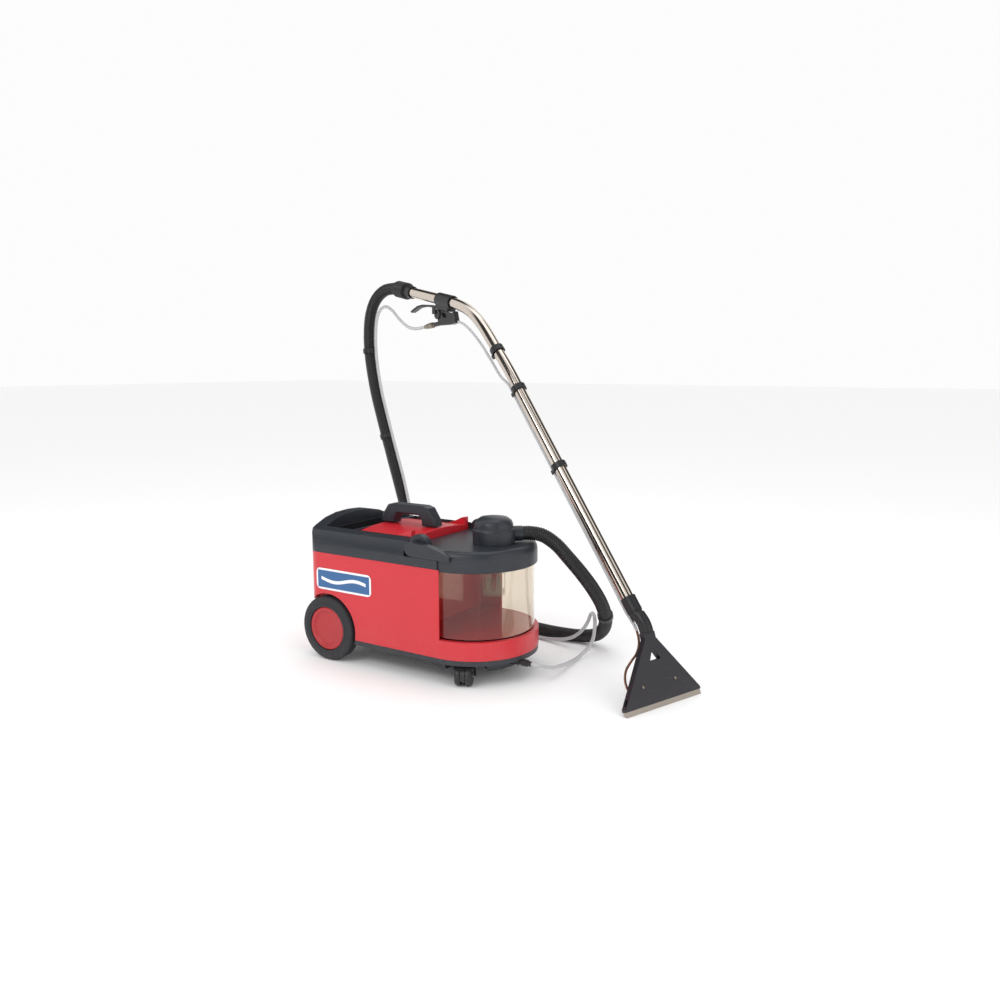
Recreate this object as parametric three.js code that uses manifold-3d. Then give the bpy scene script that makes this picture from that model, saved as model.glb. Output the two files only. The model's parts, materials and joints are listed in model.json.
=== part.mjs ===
// Spray-extraction carpet cleaner: a wheeled body with a clear recovery tank, and a floor wand on two hoses.
// Millimetres, +Z up. The machine's own frame has the floor point under the front tank's axis as its zero,
// +X towards the tank and -Y towards the badge side. The last lines put the whole on its base centre.
import * as THREE from "three";
import { mergeVertices } from "three/addons/utils/BufferGeometryUtils.js";
import Module from "manifold-3d";

const wasm = await Module();
wasm.setup();

// ---- Driving dimensions ----
const gap = 0.3; // between pieces that touch
const wall = 3.5; // moulded shells

const bodyHalf = 170; // half the body's width, and the radius of its round front
const rearX = -446;
const rearCorner = 40;
const baseBottom = 56.5;
const baseTop = 70;
const bandTop = 118; // top of the red front band that the tank stands on
const shellTop = 299;
const panelFrontNear = 4;
const panelFrontFar = -22;
const backWallX = -98;

const wheelX = -372;
const wheelR = 89;
const rimR = 60;
const wheelInnerY = 138;
const wheelOuterY = 180;
const archR = 97;
const archInnerY = 134;
const axleR = 6;

const casterX = 48;
const casterY = 112;
const casterR = 25;
const casterTrail = 26;
const casterSweep = casterR + casterTrail + 3.6;
const casterNearHeading = -69; // degrees, the way each wheel trails
const casterFarHeading = 168;

const tankR = 159;
const tankWall = 3;
const tankRearX = -92;
const tankBottom = bandTop + 0.4;
const tankTop = 292;

const lidR = 166;
const lidSideY = 161;
const lidBottom = 294;
const lidTop = 347;
const hingeX = -82;
const hingeZ = 343;
const hingePinR = 5;
const armInnerY = 150.3;
const armOuterY = 171.5;
const housingY = [130, 149.5];
const housingX = -73;
const housingR = 32;

const domeX = 60;
const domeR = 55.5;
const domeTop = 417;
const portR = 20;
const portZ = 369;
const portHeading = 42;
const portReach = 74;

const openingX = [-405, -310];
const openingY = 130;
const ledgeY = 120;
const ledgeZ = 337;
const coverX = [-300, -110];
const coverCrown = 368;
const rimCrown = 391;

const handleX = [-307, -117];
const handleHalf = 18;
const handleTop = 425;
const handleFoot = 370.4;

const couplingY = -30;
const couplingZ = 50;
const couplingX = [120, 164];

const hoseR = 19;
const lineR = 5; // clear solution hose

const wandHeading = 159.75; // degrees from +X to the way the wand rises
const wandFoot = [537, 12]; // middle of the floor lip
const tubeR = 16;
const tubeWall = 1.5;
const lipLength = 258;
const lipThick = 9;
const neckWidth = 38;

const radians = THREE.MathUtils.degToRad;

// ---- Solids ----
function solid(geometry) {
  const bare = geometry.clone();
  bare.deleteAttribute("normal");
  bare.deleteAttribute("uv");
  const merged = mergeVertices(bare, 1e-3);
  const corners = merged.index.array;
  const kept = [];
  for (let i = 0; i < corners.length; i += 3) {
    const [a, b, c] = [corners[i], corners[i + 1], corners[i + 2]];
    if (a !== b && b !== c && a !== c) kept.push(a, b, c);
  }
  const build = (order) => new wasm.Manifold(new wasm.Mesh({
    numProp: 3,
    vertProperties: merged.attributes.position.array,
    triVerts: new Uint32Array(order),
  }));
  const made = build(kept);
  return made.volume() < 0 ? build(kept.reverse()) : made;
}

function geometryOf(made) {
  const mesh = made.getMesh();
  const points = new Float32Array(mesh.numVert * 3);
  for (let v = 0; v < mesh.numVert; v++) {
    points.set(mesh.vertProperties.subarray(v * mesh.numProp, v * mesh.numProp + 3), v * 3);
  }
  const geometry = new THREE.BufferGeometry();
  geometry.setAttribute("position", new THREE.BufferAttribute(points, 3));
  geometry.setIndex(new THREE.BufferAttribute(mesh.triVerts, 1));
  return geometry;
}

const join = (first, ...rest) => geometryOf(rest.reduce((sum, g) => sum.add(solid(g)), solid(first)));
const cut = (base, ...tools) => geometryOf(tools.reduce((sum, g) => sum.subtract(solid(g)), solid(base)));
const common = (a, b) => geometryOf(solid(a).intersect(solid(b)));
const mirrored = (geometry) => geometryOf(solid(geometry.clone().scale(1, -1, 1)));

function block([x0, x1], [y0, y1], [z0, z1]) {
  const made = new THREE.BoxGeometry(x1 - x0, y1 - y0, z1 - z0);
  return made.translate((x0 + x1) / 2, (y0 + y1) / 2, (z0 + z1) / 2);
}

const axisTurn = { x: ["rotateZ", -Math.PI / 2], y: ["rotateX", 0], z: ["rotateX", Math.PI / 2] };

// A round bar along one axis, from one station to the other, through the point at.
function rod(axis, radius, [from, to], at, sides = 24) {
  const [turn, angle] = axisTurn[axis];
  const made = new THREE.CylinderGeometry(radius, radius, to - from, sides);
  made[turn](angle);
  const middle = (from + to) / 2;
  const place = { x: [middle, at[0], at[1]], y: [at[0], middle, at[1]], z: [at[0], at[1], middle] }[axis];
  return made.translate(...place);
}

// A profile of [radius, height] points turned about an upright axis at [x, y].
function turned(profile, [x, y] = [0, 0], sides = 32) {
  const outline = profile.map(([r, z]) => new THREE.Vector2(r, z));
  return geometryOf(solid(new THREE.LatheGeometry(outline, sides).rotateX(Math.PI / 2))).translate(x, y, 0);
}

// The same about an axis along Y, its profile as [radius, y] points.
function turnedAcross(profile, [x, z], sides = 32) {
  const outline = profile.map(([r, y]) => new THREE.Vector2(r, y));
  return geometryOf(solid(new THREE.LatheGeometry(outline, sides))).translate(x, 0, z);
}

function arc([cx, cy], radius, fromDeg, toDeg, steps) {
  const points = [];
  for (let i = 0; i <= steps; i++) {
    const angle = radians(fromDeg + ((toDeg - fromDeg) * i) / steps);
    points.push([cx + radius * Math.cos(angle), cy + radius * Math.sin(angle)]);
  }
  return points;
}

const shapeOf = (points) => new THREE.Shape(points.map(([a, b]) => new THREE.Vector2(a, b)));
const raised = (points, depth, bevel = {}) =>
  new THREE.ExtrudeGeometry(shapeOf(points), { depth, bevelEnabled: false, ...bevel });

const slab = (points, [z0, z1]) => raised(points, z1 - z0).translate(0, 0, z0);
const sideCut = (points, [y0, y1]) => raised(points, y1 - y0).rotateX(Math.PI / 2).translate(0, y1, 0);
function crossCut(points, [x0, x1]) {
  const turn = new THREE.Matrix4().makeBasis(
    new THREE.Vector3(0, 1, 0), new THREE.Vector3(0, 0, 1), new THREE.Vector3(1, 0, 0));
  return raised(points, x1 - x0).applyMatrix4(turn).translate(x0, 0, 0);
}

function roundedBox([x0, x1], [y0, y1], radius, steps = 5) {
  return [
    ...arc([x1 - radius, y0 + radius], radius, -90, 0, steps),
    ...arc([x1 - radius, y1 - radius], radius, 0, 90, steps),
    ...arc([x0 + radius, y1 - radius], radius, 90, 180, steps),
    ...arc([x0 + radius, y0 + radius], radius, 180, 270, steps),
  ];
}

// A round tube along a curve; a bore leaves it hollow and open at both ends.
function tube(curve, radius, sides, steps, bore = 0) {
  const section = shapeOf(arc([0, 0], radius, 0, 360, sides).slice(1));
  if (bore) {
    const inner = arc([0, 0], bore, 0, 360, sides).slice(1);
    section.holes.push(new THREE.Path(inner.map(([a, b]) => new THREE.Vector2(a, b))));
  }
  return new THREE.ExtrudeGeometry(section, { steps, extrudePath: curve, bevelEnabled: false });
}

const curveThrough = (points) =>
  new THREE.CatmullRomCurve3(points.map((p) => new THREE.Vector3(...p)), false, "centripetal");

// The stretch of a curve between two of its own points, shortened at each end by half a joint's gap.
function stretch(curve, from, to, steps) {
  const pieces = curve.points.length - 1;
  const fine = steps * 6;
  curve.arcLengthDivisions = pieces * 40;
  const lengths = curve.getLengths();
  const total = lengths[lengths.length - 1];
  const start = lengths[from * 40] + (from > 0 ? gap : 0);
  const end = lengths[to * 40] - (to < pieces ? gap : 0);
  const points = [];
  for (let i = 0; i <= fine; i++) {
    points.push(curve.getPointAt((start + ((end - start) * i) / fine) / total));
  }
  return new THREE.CatmullRomCurve3(points, false, "centripetal");
}

// ---- Materials ----
const paint = (color, roughness, metalness = 0, opacity = 1) =>
  new THREE.MeshStandardMaterial({ color, roughness, metalness, opacity, transparent: opacity < 1 });
const redShell = () => paint(0xd8404b, 0.38);
const darkShell = () => paint(0x3a3e44, 0.5);
const blackPart = () => paint(0x1d1e20, 0.55);
const rubber = () => paint(0x37393c, 0.8);
const steel = () => paint(0xb9ab9c, 0.18, 1);

const cleaner = new THREE.Group();
const machine = new THREE.Group();
const wand = new THREE.Group();
cleaner.add(machine, wand);
const cordNames = [];

function piece(parent, name, geometry, material) {
  const mesh = new THREE.Mesh(geometry, material);
  mesh.name = name;
  parent.add(mesh);
  return mesh;
}

function cordPiece(name, geometry, material) {
  cordNames.push(name);
  return piece(machine, name, geometry, material);
}

// ---- Body outlines ----
function bodyOutline(inset) {
  const r = bodyHalf - inset;
  const c = rearCorner - inset;
  const x = rearX + inset;
  return [
    ...arc([0, 0], r, -90, 90, 20),
    ...arc([x + c, r - c], c, 90, 180, 4),
    ...arc([x + c, -r + c], c, 180, 270, 4),
  ];
}

function tankOutline(inset) {
  const r = tankR - inset;
  const c = 14 - inset;
  const x = tankRearX + inset;
  return [
    ...arc([0, 0], r, -90, 90, 20),
    ...arc([x + c, r - c], c, 90, 180, 3),
    ...arc([x + c, -r + c], c, 180, 270, 3),
  ];
}

const nearAndFar = [["near", (g) => g], ["far", mirrored]];

// ---- Lower body ----
function archTools(radius, fromY) {
  const one = rod("y", radius, [-bodyHalf - 20, -fromY], [wheelX, wheelR], 40);
  return [one, mirrored(one)];
}

function basePan() {
  const floor = 3;
  const bowlR = 139;
  const bowlFloor = 27;
  const tray = cut(
    slab(bodyOutline(1), [baseBottom, baseTop - gap]),
    slab(bodyOutline(1 + floor), [baseBottom + floor, baseTop + 1]),
    turned([[0, baseBottom - 1], [bowlR - floor, baseBottom - 1], [bowlR - floor, baseTop], [0, baseTop]]),
  );
  const bowl = turned([
    [0, bowlFloor], [bowlR - 18, bowlFloor], [bowlR - 7, bowlFloor + 4], [bowlR - 2, bowlFloor + 11],
    [bowlR, baseBottom + floor], [bowlR - floor, baseBottom + floor], [bowlR - floor - 2, bowlFloor + 12],
    [bowlR - floor - 7, bowlFloor + 7], [bowlR - 20, bowlFloor + floor], [0, bowlFloor + floor],
  ]);
  const shaft = (radius, z, y) => rod("z", radius, z, [casterX, y], 40);
  const pockets = [-casterY, casterY].map((y) => shaft(casterSweep, [10, baseBottom], y));
  const roofs = [-casterY, casterY].map((y) =>
    common(
      shaft(casterSweep + floor, [baseBottom, baseBottom + floor], y),
      slab(bodyOutline(2), [0, 200]),
    ));
  const pocketWalls = [-casterY, casterY].map((y) =>
    common(
      cut(
        shaft(casterSweep + floor, [bowlFloor, baseBottom + floor], y),
        shaft(casterSweep, [10, baseBottom], y),
      ),
      turned([[0, bowlFloor], [bowlR - 18, bowlFloor], [bowlR - 2, bowlFloor + 11], [0, baseBottom + floor]]),
    ));
  const stems = [-casterY, casterY].map((y) => rod("z", 6.4, [10, baseBottom + 30], [casterX, y], 16));
  const bore = rod("x", 11, [couplingX[0] - 30, 190], [couplingY, couplingZ], 20);
  const hollowed = cut(join(tray, bowl), ...pockets);
  const arches = archTools(archR, archInnerY - wall);
  return cut(join(hollowed, ...roofs, ...pocketWalls), ...stems, bore, ...arches);
}

function bodyShell() {
  const outer = slab(bodyOutline(0), [baseTop, shellTop - gap]);
  const ring = cut(outer, slab(bodyOutline(wall), [baseTop - 5, shellTop + 5]));
  const above = [bandTop, shellTop + 5];
  const open = cut(
    ring,
    block([panelFrontNear, 200], [-200, 0], above),
    block([panelFrontFar, 200], [0, 200], above),
  );
  const inside = slab(bodyOutline(wall / 2), [baseTop, shellTop - gap]);
  const backWall = common(inside, block([backWallX, backWallX + 3], [-200, 200], [baseTop, shellTop]));
  const shelf = common(inside, block([backWallX, 200], [-200, 200], [bandTop - 3, bandTop]));
  const liners = archTools(archR + wall, archInnerY - wall).map((tool) => common(tool, inside));
  const axleHole = rod("y", axleR + 0.4, [-150, 150], [wheelX, wheelR], 20);
  return cut(join(open, backWall, shelf, ...liners), ...archTools(archR, archInnerY), axleHole);
}

function topTrim() {
  const half = [
    [bodyHalf, shellTop], [bodyHalf, 322], [166, 335], [159, 348], [150, 357], [130, 365],
    [92, 380], [50, 388.5], [0, rimCrown],
  ];
  const section = [...half, ...half.slice(0, -1).reverse().map(([y, z]) => [-y, z])];
  const crown = common(slab(bodyOutline(0), [shellTop, rimCrown + 2]), crossCut(section, [rearX, 0 - gap]));
  const lidBay = [
    block([-105.6, 10], [-bodyHalf - 5, bodyHalf + 5], [322, 500]),
    block([-105.6, 10], [-lidSideY - 0.5, lidSideY + 0.5], [290, 500]),
  ];
  return cut(
    crown,
    block(openingX, [-openingY, openingY], [290, 500]),
    block([openingX[0], 10], [-openingY - 0.2, openingY + 0.2], [364, 500]),
    block([coverX[0] - 0.4, 10], [-openingY, openingY], [ledgeZ, 500]),
    block([coverX[0] + 8, 10], [-ledgeY, ledgeY], [290, 500]),
    ...lidBay,
  );
}

function motorCover() {
  const side = openingY - 0.5;
  const crown = [[side, 352], [122, 357], [100, 361.5], [60, 366], [20, coverCrown]];
  const outer = [[side, ledgeZ + gap], ...crown, ...crown.slice().reverse().map(([y, z]) => [-y, z]),
    [-side, ledgeZ + gap]];
  const inner = outer.map(([y, z]) => [y - Math.sign(y) * wall, z - wall - (z < ledgeZ + 1 ? 5 : 0)]);
  const shell = cut(crossCut(outer, coverX), crossCut(inner, [coverX[0] + wall, coverX[1] - wall]));
  const cheekSide = [[-185, 345], [-178, 355], [-145, 368], [-122, 379], [-110, 381], [-110, 345]];
  const cheek = sideCut(cheekSide, [113, side]);
  return join(shell, cheek, mirrored(cheek));
}

function carryHandle() {
  const [rear, front] = handleX;
  const grip = 27;
  const legRear = 48;
  const legFront = 48;
  const outer = [
    [rear, handleFoot], [rear + 4, handleFoot + 20], [rear + 26, handleTop - 4], [rear + 42, handleTop],
    [front - 42, handleTop], [front - 24, handleTop - 5], [front - 3, handleFoot + 18], [front, handleFoot],
    [front - legFront, handleFoot], [front - legFront, handleFoot + 14],
    [front - legFront - 10, handleTop - grip],
    [rear + legRear + 10, handleTop - grip], [rear + legRear, handleFoot + 14], [rear + legRear, handleFoot],
  ];
  const bevel = { bevelEnabled: true, bevelThickness: 4, bevelSize: 3, bevelOffset: -3, bevelSegments: 1 };
  return raised(outer, 2 * handleHalf - 8, bevel).rotateX(Math.PI / 2).translate(0, handleHalf - 4, 0);
}

function solutionTank() {
  const x = [openingX[0] + 3, openingX[1] - 3];
  const y = [-ledgeY + 2, ledgeY - 2];
  const z = [104, 358];
  const lipX = [openingX[0] + 0.4, openingX[1] - 0.4];
  const lipY = [-openingY + 0.4, openingY - 0.4];
  const outer = join(slab(roundedBox(x, y, 16), z), slab(roundedBox(lipX, lipY, 6, 2), [z[1] - 3, z[1]]));
  const innerX = [x[0] + 3, x[1] - 3];
  const innerY = [y[0] + 3, y[1] - 3];
  return cut(outer, slab(roundedBox(innerX, innerY, 13), [z[0] + 3, z[1] + 5]));
}

// ---- Inside the body ----
const motorX = -205;
const fanR = 74;
const fanZ = [150, 196];

function vacuumMotor() {
  return turned([
    [0, fanZ[0]], [fanR, fanZ[0]], [fanR, fanZ[1]], [fanR - 10, fanZ[1] + 6], [62, fanZ[1] + 6], [62, 290],
    [54, 300], [30, 304], [28, 326], [0, 326],
  ], [motorX, 0], 32);
}

function motorCradle() {
  const foot = cut(
    rod("z", fanR - 2, [baseBottom + 3.3, fanZ[0] - gap], [motorX, 0], 32),
    rod("z", fanR - 8, [40, 200], [motorX, 0], 32),
  );
  return cut(foot, block([motorX - 100, motorX + 100], [-22, 22], [baseTop + 10, 130]));
}

function suctionDuct() {
  const z = 235;
  const x = [motorX + 62 + gap, backWallX - gap];
  return cut(rod("x", 24, x, [0, z], 24), rod("x", 20, [x[0] - 1, x[1] + 1], [0, z], 24));
}

function solutionPump() {
  const head = rod("x", 26, [-10, 62], [couplingY, 76], 24);
  const foot = block([-4, 56], [couplingY - 24, couplingY + 24], [41.4, 56]);
  const outlet = rod("x", 7, [60, couplingX[0] - gap], [couplingY, couplingZ + 16], 16);
  const drop = rod("z", 7, [couplingZ - 4, couplingZ + 18], [couplingX[0] - 10, couplingY], 16);
  return join(head, foot, outlet, drop);
}

function frontCoupling() {
  const at = [couplingY, couplingZ];
  const stem = rod("x", 6, [couplingX[0], couplingX[1]], at, 20);
  const nut = rod("x", 10.5, [couplingX[0] + 22, couplingX[0] + 36], at, 6);
  return join(stem, nut);
}

function couplingPlug() {
  const at = [couplingY, couplingZ];
  const from = couplingX[1] + gap;
  return join(rod("x", 9, [from, from + 18], at, 20), rod("x", 6.5, [from + 17, from + 28], at, 20));
}

// ---- Running gear ----
function rearAxle() {
  const reach = wheelOuterY - 3.4;
  return join(
    rod("y", axleR, [-reach, reach], [wheelX, wheelR], 20),
    rod("y", 11, [-reach - 4, -reach + 0.5], [wheelX, wheelR], 20),
    rod("y", 11, [reach - 0.5, reach + 4], [wheelX, wheelR], 20),
  );
}

function rearTyre() {
  const [a, b] = [-wheelOuterY, -wheelInnerY];
  return turnedAcross([
    [rimR, a + 4], [rimR + 6, a], [wheelR - 12, a], [wheelR - 3, a + 4], [wheelR, a + 12], [wheelR, b - 12],
    [wheelR - 5, b - 2], [rimR, b - 2], [rimR, a + 4],
  ], [wheelX, wheelR], 32);
}

function rearHub() {
  const [a, b] = [-wheelOuterY, -wheelInnerY];
  const bore = axleR + 0.4;
  const edge = rimR - gap;
  return turnedAcross([
    [bore, a + 4], [18, a + 4], [24, a + 9], [44, a + 9], [50, a + 3], [edge - 2, a + 3], [edge, a + 5],
    [edge, b - 5], [edge - 6, b - 5], [edge - 8, a + 14], [24, a + 16], [18, b - 2], [bore, b - 2],
    [bore, a + 4],
  ], [wheelX, wheelR], 24);
}

// One caster about its own swivel axis at the zero, its wheels trailing along +X.
function casterStem() {
  const stemTop = baseBottom + 14;
  const collar = rod("z", 10, [baseBottom + 3.4, stemTop], [0, 0], 16);
  return join(rod("z", 5.6, [44, stemTop], [0, 0], 16), collar);
}

function casterFork() {
  const hood = common(
    rod("y", casterR - 1, [-6, 6], [casterTrail, casterR], 24),
    block([-40, 80], [-10, 10], [casterR - 8, 60]),
  );
  const neck = rod("z", 11, [47, baseBottom - 1], [0, 0], 20);
  const web = block([-5, casterTrail + 2], [-5.5, 5.5], [34, 50]);
  const axleHole = rod("y", 4.4, [-20, 20], [casterTrail, casterR], 16);
  return cut(join(hood, neck, web), rod("z", 6, [30, 80], [0, 0], 16), axleHole);
}

function casterWheels() {
  const wheel = (side) => turnedAcross([
    [0, side * 6.6], [casterR - 2, side * 6.6], [casterR, side * 9], [casterR, side * 17],
    [casterR - 5, side * 22], [12, side * 24], [0, side * 24],
  ], [casterTrail, casterR], 20);
  return join(wheel(1), wheel(-1), rod("y", 4, [-10, 10], [casterTrail, casterR], 16));
}

// ---- Recovery tank and lid ----
function recoveryTank() {
  const shell = cut(
    slab(tankOutline(0), [tankBottom, tankTop]),
    slab(tankOutline(tankWall), [tankBottom + tankWall, tankTop + 5]),
  );
  const ledge = common(
    block([tankRearX + 1, -48], [housingY[0] - 4, tankR - 1], [tankTop - 8, tankTop]),
    slab(tankOutline(tankWall / 2), [tankBottom, tankTop]),
  );
  return join(shell, ledge, mirrored(ledge));
}

function tankSeal() {
  return cut(
    slab(tankOutline(0.2), [tankTop + gap, tankTop + 1.7]),
    slab(tankOutline(tankWall - 0.2), [tankTop - 5, tankTop + 5]),
  );
}

function pivotHousing() {
  const foot = tankTop + gap;
  const outline = [
    [-87.5, foot], [-45, foot], [-45, hingeZ - 8], ...arc([housingX, 346], housingR, 0, 180, 14),
    [-87.5, hingeZ - 8],
  ];
  const cheek = sideCut(outline, housingY);
  const pin = rod("y", hingePinR, [housingY[1] - 1, armOuterY - 3.4], [hingeX, hingeZ], 20);
  return join(cheek, pin);
}

function lidOutline(inset) {
  const r = lidR - inset;
  const rear = tankRearX - 2 + inset;
  const corner = 20 - inset;
  return [
    ...arc([0, 0], r, -90, 90, 20),
    ...arc([rear + corner, r - corner], corner, 90, 180, 3),
    ...arc([rear + corner, -r + corner], corner, 180, 270, 3),
  ];
}

function lid() {
  const round = { bevelEnabled: true, bevelThickness: 20, bevelSize: 16, bevelOffset: -16, bevelSegments: 4 };
  const bulk = raised(lidOutline(0), lidTop - lidBottom - 20, round).translate(0, 0, lidBottom);
  const top = common(bulk, block([-300, 300], [-300, 300], [lidBottom, lidTop + 5]));
  const deck = block([hingeX - 22, -60], [-125, 125], [330, lidTop]);
  const bay = [-106, -39];
  const notch = block(bay, [housingY[0] - 3, armInnerY + 0.5], [290, 400]);
  const inside = common(
    slab(lidOutline(wall), [lidBottom - 5, 323]),
    join(
      block([-0.4, 200], [-200, 200], [280, 400]),
      block([-35, 0], [wall - lidSideY, lidSideY - wall], [280, 400]),
      block([-90, -30], [-124, 124], [280, 400]),
    ),
  );
  const armSide = [
    [38, 323], [38, 334], [10, 346], [-30, 356], ...arc([hingeX, hingeZ], 19, 60, 270, 14), [-60, 323],
  ];
  const arm = sideCut(armSide, [armInnerY, armOuterY]);
  const pinHole = rod("y", hingePinR + 0.4, [armInnerY - 5, armOuterY - 3], [hingeX, hingeZ], 20);
  const skirtCut = block([-200, -75], [-200, 200], [280, 300]);
  const shaped = cut(join(top, deck), notch, mirrored(notch), inside, skirtCut);
  const armed = join(shaped, arm, mirrored(arm));
  const outletHole = rod("z", 38, [300, 400], [domeX, 0], 32);
  const skirtTool = block([-105, 0.1], [lidSideY, 200], [280, 322.6]);
  return cut(armed, pinHole, mirrored(pinHole), outletHole, skirtTool, mirrored(skirtTool));
}

function dome() {
  const base = lidTop + gap;
  const outer = turned([
    [0, base], [domeR, base], [domeR, 381], [53.5, 385.5], [51, 387], [50.5, 396], [46.5, 406],
    [36, 413.5], [18, 416.6], [0, domeTop],
  ], [domeX, 0], 28);
  const hollow = turned([
    [0, base - 5], [38, base - 5], [46, 376], [46, 394], [42, 403], [32, 409.5], [0, 411.5],
  ], [domeX, 0], 24);
  const aim = radians(portHeading);
  const port = rod("x", portR, [20, portReach], [0, portZ], 20).rotateZ(aim).translate(domeX, 0, 0);
  const bore = rod("x", portR - 3, [20, portReach + 5], [0, portZ], 20).rotateZ(aim).translate(domeX, 0, 0);
  return cut(join(outer, port), hollow, bore);
}

function floatCage() {
  const top = 322.6;
  const cage = turned([
    [0, 208], [30, 208], [30, top - 3], [42, top - 3], [42, top], [27, top], [27, 213], [25, 211], [0, 211],
  ], [domeX, 0], 20);
  const slots = [0, 60, 120].map((turn) =>
    block([-60, 60], [-7, 7], [222, 268]).rotateZ(radians(turn)).translate(domeX, 0, 0));
  return cut(cage, ...slots);
}

function floatBall() {
  return new THREE.SphereGeometry(21, 12, 8).rotateX(Math.PI / 2).translate(domeX, 0, 211.4 + 21);
}

// ---- Rear controls and badge ----
const panelY = [-52, 52];
const panelZ = [226, 276];

function switchPanel() {
  const plate = raised(roundedBox(panelY, panelZ, 8), 4);
  const turn = new THREE.Matrix4().makeBasis(
    new THREE.Vector3(0, 1, 0), new THREE.Vector3(0, 0, 1), new THREE.Vector3(1, 0, 0));
  plate.applyMatrix4(turn).translate(rearX - gap - 4, 0, 0);
  const windows = [-26, 26].map((y) => block([rearX - 10, rearX + 1], [y - 12, y + 12], [236, 266]));
  return cut(plate, ...windows);
}

function rockerSwitch(y) {
  const pivot = [rearX - 5, 251];
  const outline = [
    [pivot[0] - 4, 264], [pivot[0] - 2.5, 251], [pivot[0] - 6, 238],
    [pivot[0] + 2.4, 241], [pivot[0] + 2.4, 261],
  ];
  return sideCut(outline, [y - 11, y + 11]);
}

function mainsInlet() {
  const x = [rearX - 12, rearX - gap];
  return cut(block(x, [-24, 24], [180, 212]), block([x[0] - 1, x[1] - 4], [-19, 19], [185, 207]));
}

function sideBadge() {
  const plate = raised(roundedBox([-409, -215], [197.5, 256.5], 13), 1.4);
  return plate.rotateX(Math.PI / 2).translate(0, -bodyHalf - gap, 0);
}

// ---- Wand, in its own upright plane: x along the rise, y across, z up ----
const tubeFit = 0.8; // clearance of the rings that clasp the tube
const riseAxis = new THREE.Vector3(446, 0, 515).normalize();
const tubeFoot = [107, 211];
const alongTube = (reach, offset = 0) =>
  [
    tubeFoot[0] + reach * riseAxis.x + offset * riseAxis.z,
    0,
    tubeFoot[1] + reach * riseAxis.z - offset * riseAxis.x,
  ];
const tubePath = [
  alongTube(0), alongTube(230), alongTube(460), alongTube(690), alongTube(760), [661, 0, 844], [744, 0, 925],
  [800, 0, 961], [855, 0, 981], [930, 0, 997], [1008, 0, 1012], [1073, 0, 1024.5], [1138, 0, 1037],
];
const gripAxis = new THREE.Vector3(130, 0, 25).normalize();

// Geometry built along +X from the zero, laid along a direction in the wand's plane at a point.
function laid(geometry, [x, z], direction) {
  return geometry.rotateY(-Math.atan2(direction.z, direction.x)).translate(x, 0, z);
}

function wandTube() {
  return tube(curveThrough(tubePath), tubeR, 14, 26, tubeR - tubeWall);
}

function wandCuff() {
  const from = 1136;
  const z = 1036.6;
  const made = cut(
    join(
      rod("x", 20, [-28, 4], [0, 0], 24),
      rod("x", 25, [2, 66], [0, 0], 28),
    ),
    rod("x", tubeR + tubeFit, [-30, 3], [0, 0], 24),
    rod("x", 15, [-30, 62], [0, 0], 24),
    rod("x", hoseR + gap + 0.4, [40, 70], [0, 0], 24),
  );
  return laid(made, [from, z], gripAxis);
}

const lineDrop = 27; // from the tube's axis to the solution line's
const clipReach = [433, 697];

// A split ring on the tube at one station, with a foot that holds the solution line below it.
function clipAt(reach) {
  const ring = cut(
    rod("x", tubeR + 5, [-8, 8], [0, 0], 24),
    rod("x", tubeR + tubeFit, [-9, 9], [0, 0], 24),
  );
  const lug = cut(
    block([-6, 6], [-7, 7], [-lineDrop - 4, -tubeR - 2]),
    rod("x", lineR + tubeFit, [-9, 9], [0, -lineDrop], 12),
  );
  const [x, , z] = alongTube(reach);
  return laid(join(ring, lug), [x, z], riseAxis);
}

function tubeCollar() {
  const ring = cut(
    rod("x", tubeR + 4.5, [-9, 9], [0, 0], 24),
    rod("x", tubeR + 2, [-12, 12], [0, 0], 24),
  );
  const tab = block([-6, 6], [-4, 4], [-tubeR - 14, -tubeR - 3]);
  return laid(join(ring, tab), [661, 844], new THREE.Vector3(0.69, 0, 0.72));
}

const valveAt = [955, 957];
const leverPivot = [968, 964];

function valveBracket() {
  const saddle = cut(
    join(
      rod("x", tubeR + 5, [-48, 26], [0, 0], 24),
      block([-44, 24], [-15, 15], [-tubeR - 12, 0]),
    ),
    rod("x", tubeR + 1.6, [-60, 60], [0, 0], 24),
  );
  const made = laid(saddle, [930, 997], gripAxis);
  return made;
}

function triggerValve() {
  const body = rod("y", 15, [-11, 11], valveAt, 20);
  const armOutline = [[948, 968], [880, 956], [868, 962], [858, 928], [884, 924], [952, 923], [956, 944]];
  const arm = sideCut(armOutline, [-8, 8]);
  const gate = sideCut([[935, 962], [912, 957], [905, 944], [925, 946]], [-12, 12]);
  const inlet = laid(rod("x", 7, [0, 34], [0, 0], 16), inletFrom, inletAim);
  const outletAxis = new THREE.Vector3(1, 0, 0.35).normalize();
  const outlet = laid(rod("x", 6, [-10, 6], [0, 0], 16), [866, 936], outletAxis);
  const pinHole = rod("y", 3.4, [-20, 20], leverPivot, 16);
  return cut(join(body, arm, inlet, outlet), gate, pinHole);
}

function triggerLever() {
  const blade = sideCut([
    [962, 974], [1000, 981], [1040, 983.5], [1068, 981], [1094, 972.5], [1110, 968], [1112, 973],
    [1098, 979], [1072, 988], [1042, 990.5], [1000, 987.5], [960, 981],
  ], [-8, 8]);
  const ears = cut(
    sideCut([[960, 958], [976, 958], [976, 984], [960, 981]], [-15, 15]),
    block([940, 990], [-11.3, 11.3], [940, 973.5]),
  );
  const pin = rod("y", 3, [-15, 15], leverPivot, 16);
  return join(blade, ears, pin);
}

const inletAim = new THREE.Vector3(1, 0, -0.1).normalize();
const inletFrom = [948, 930];
const onInlet = (reach) => [inletFrom[0] + reach * inletAim.x, inletFrom[1] + reach * inletAim.z];

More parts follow.
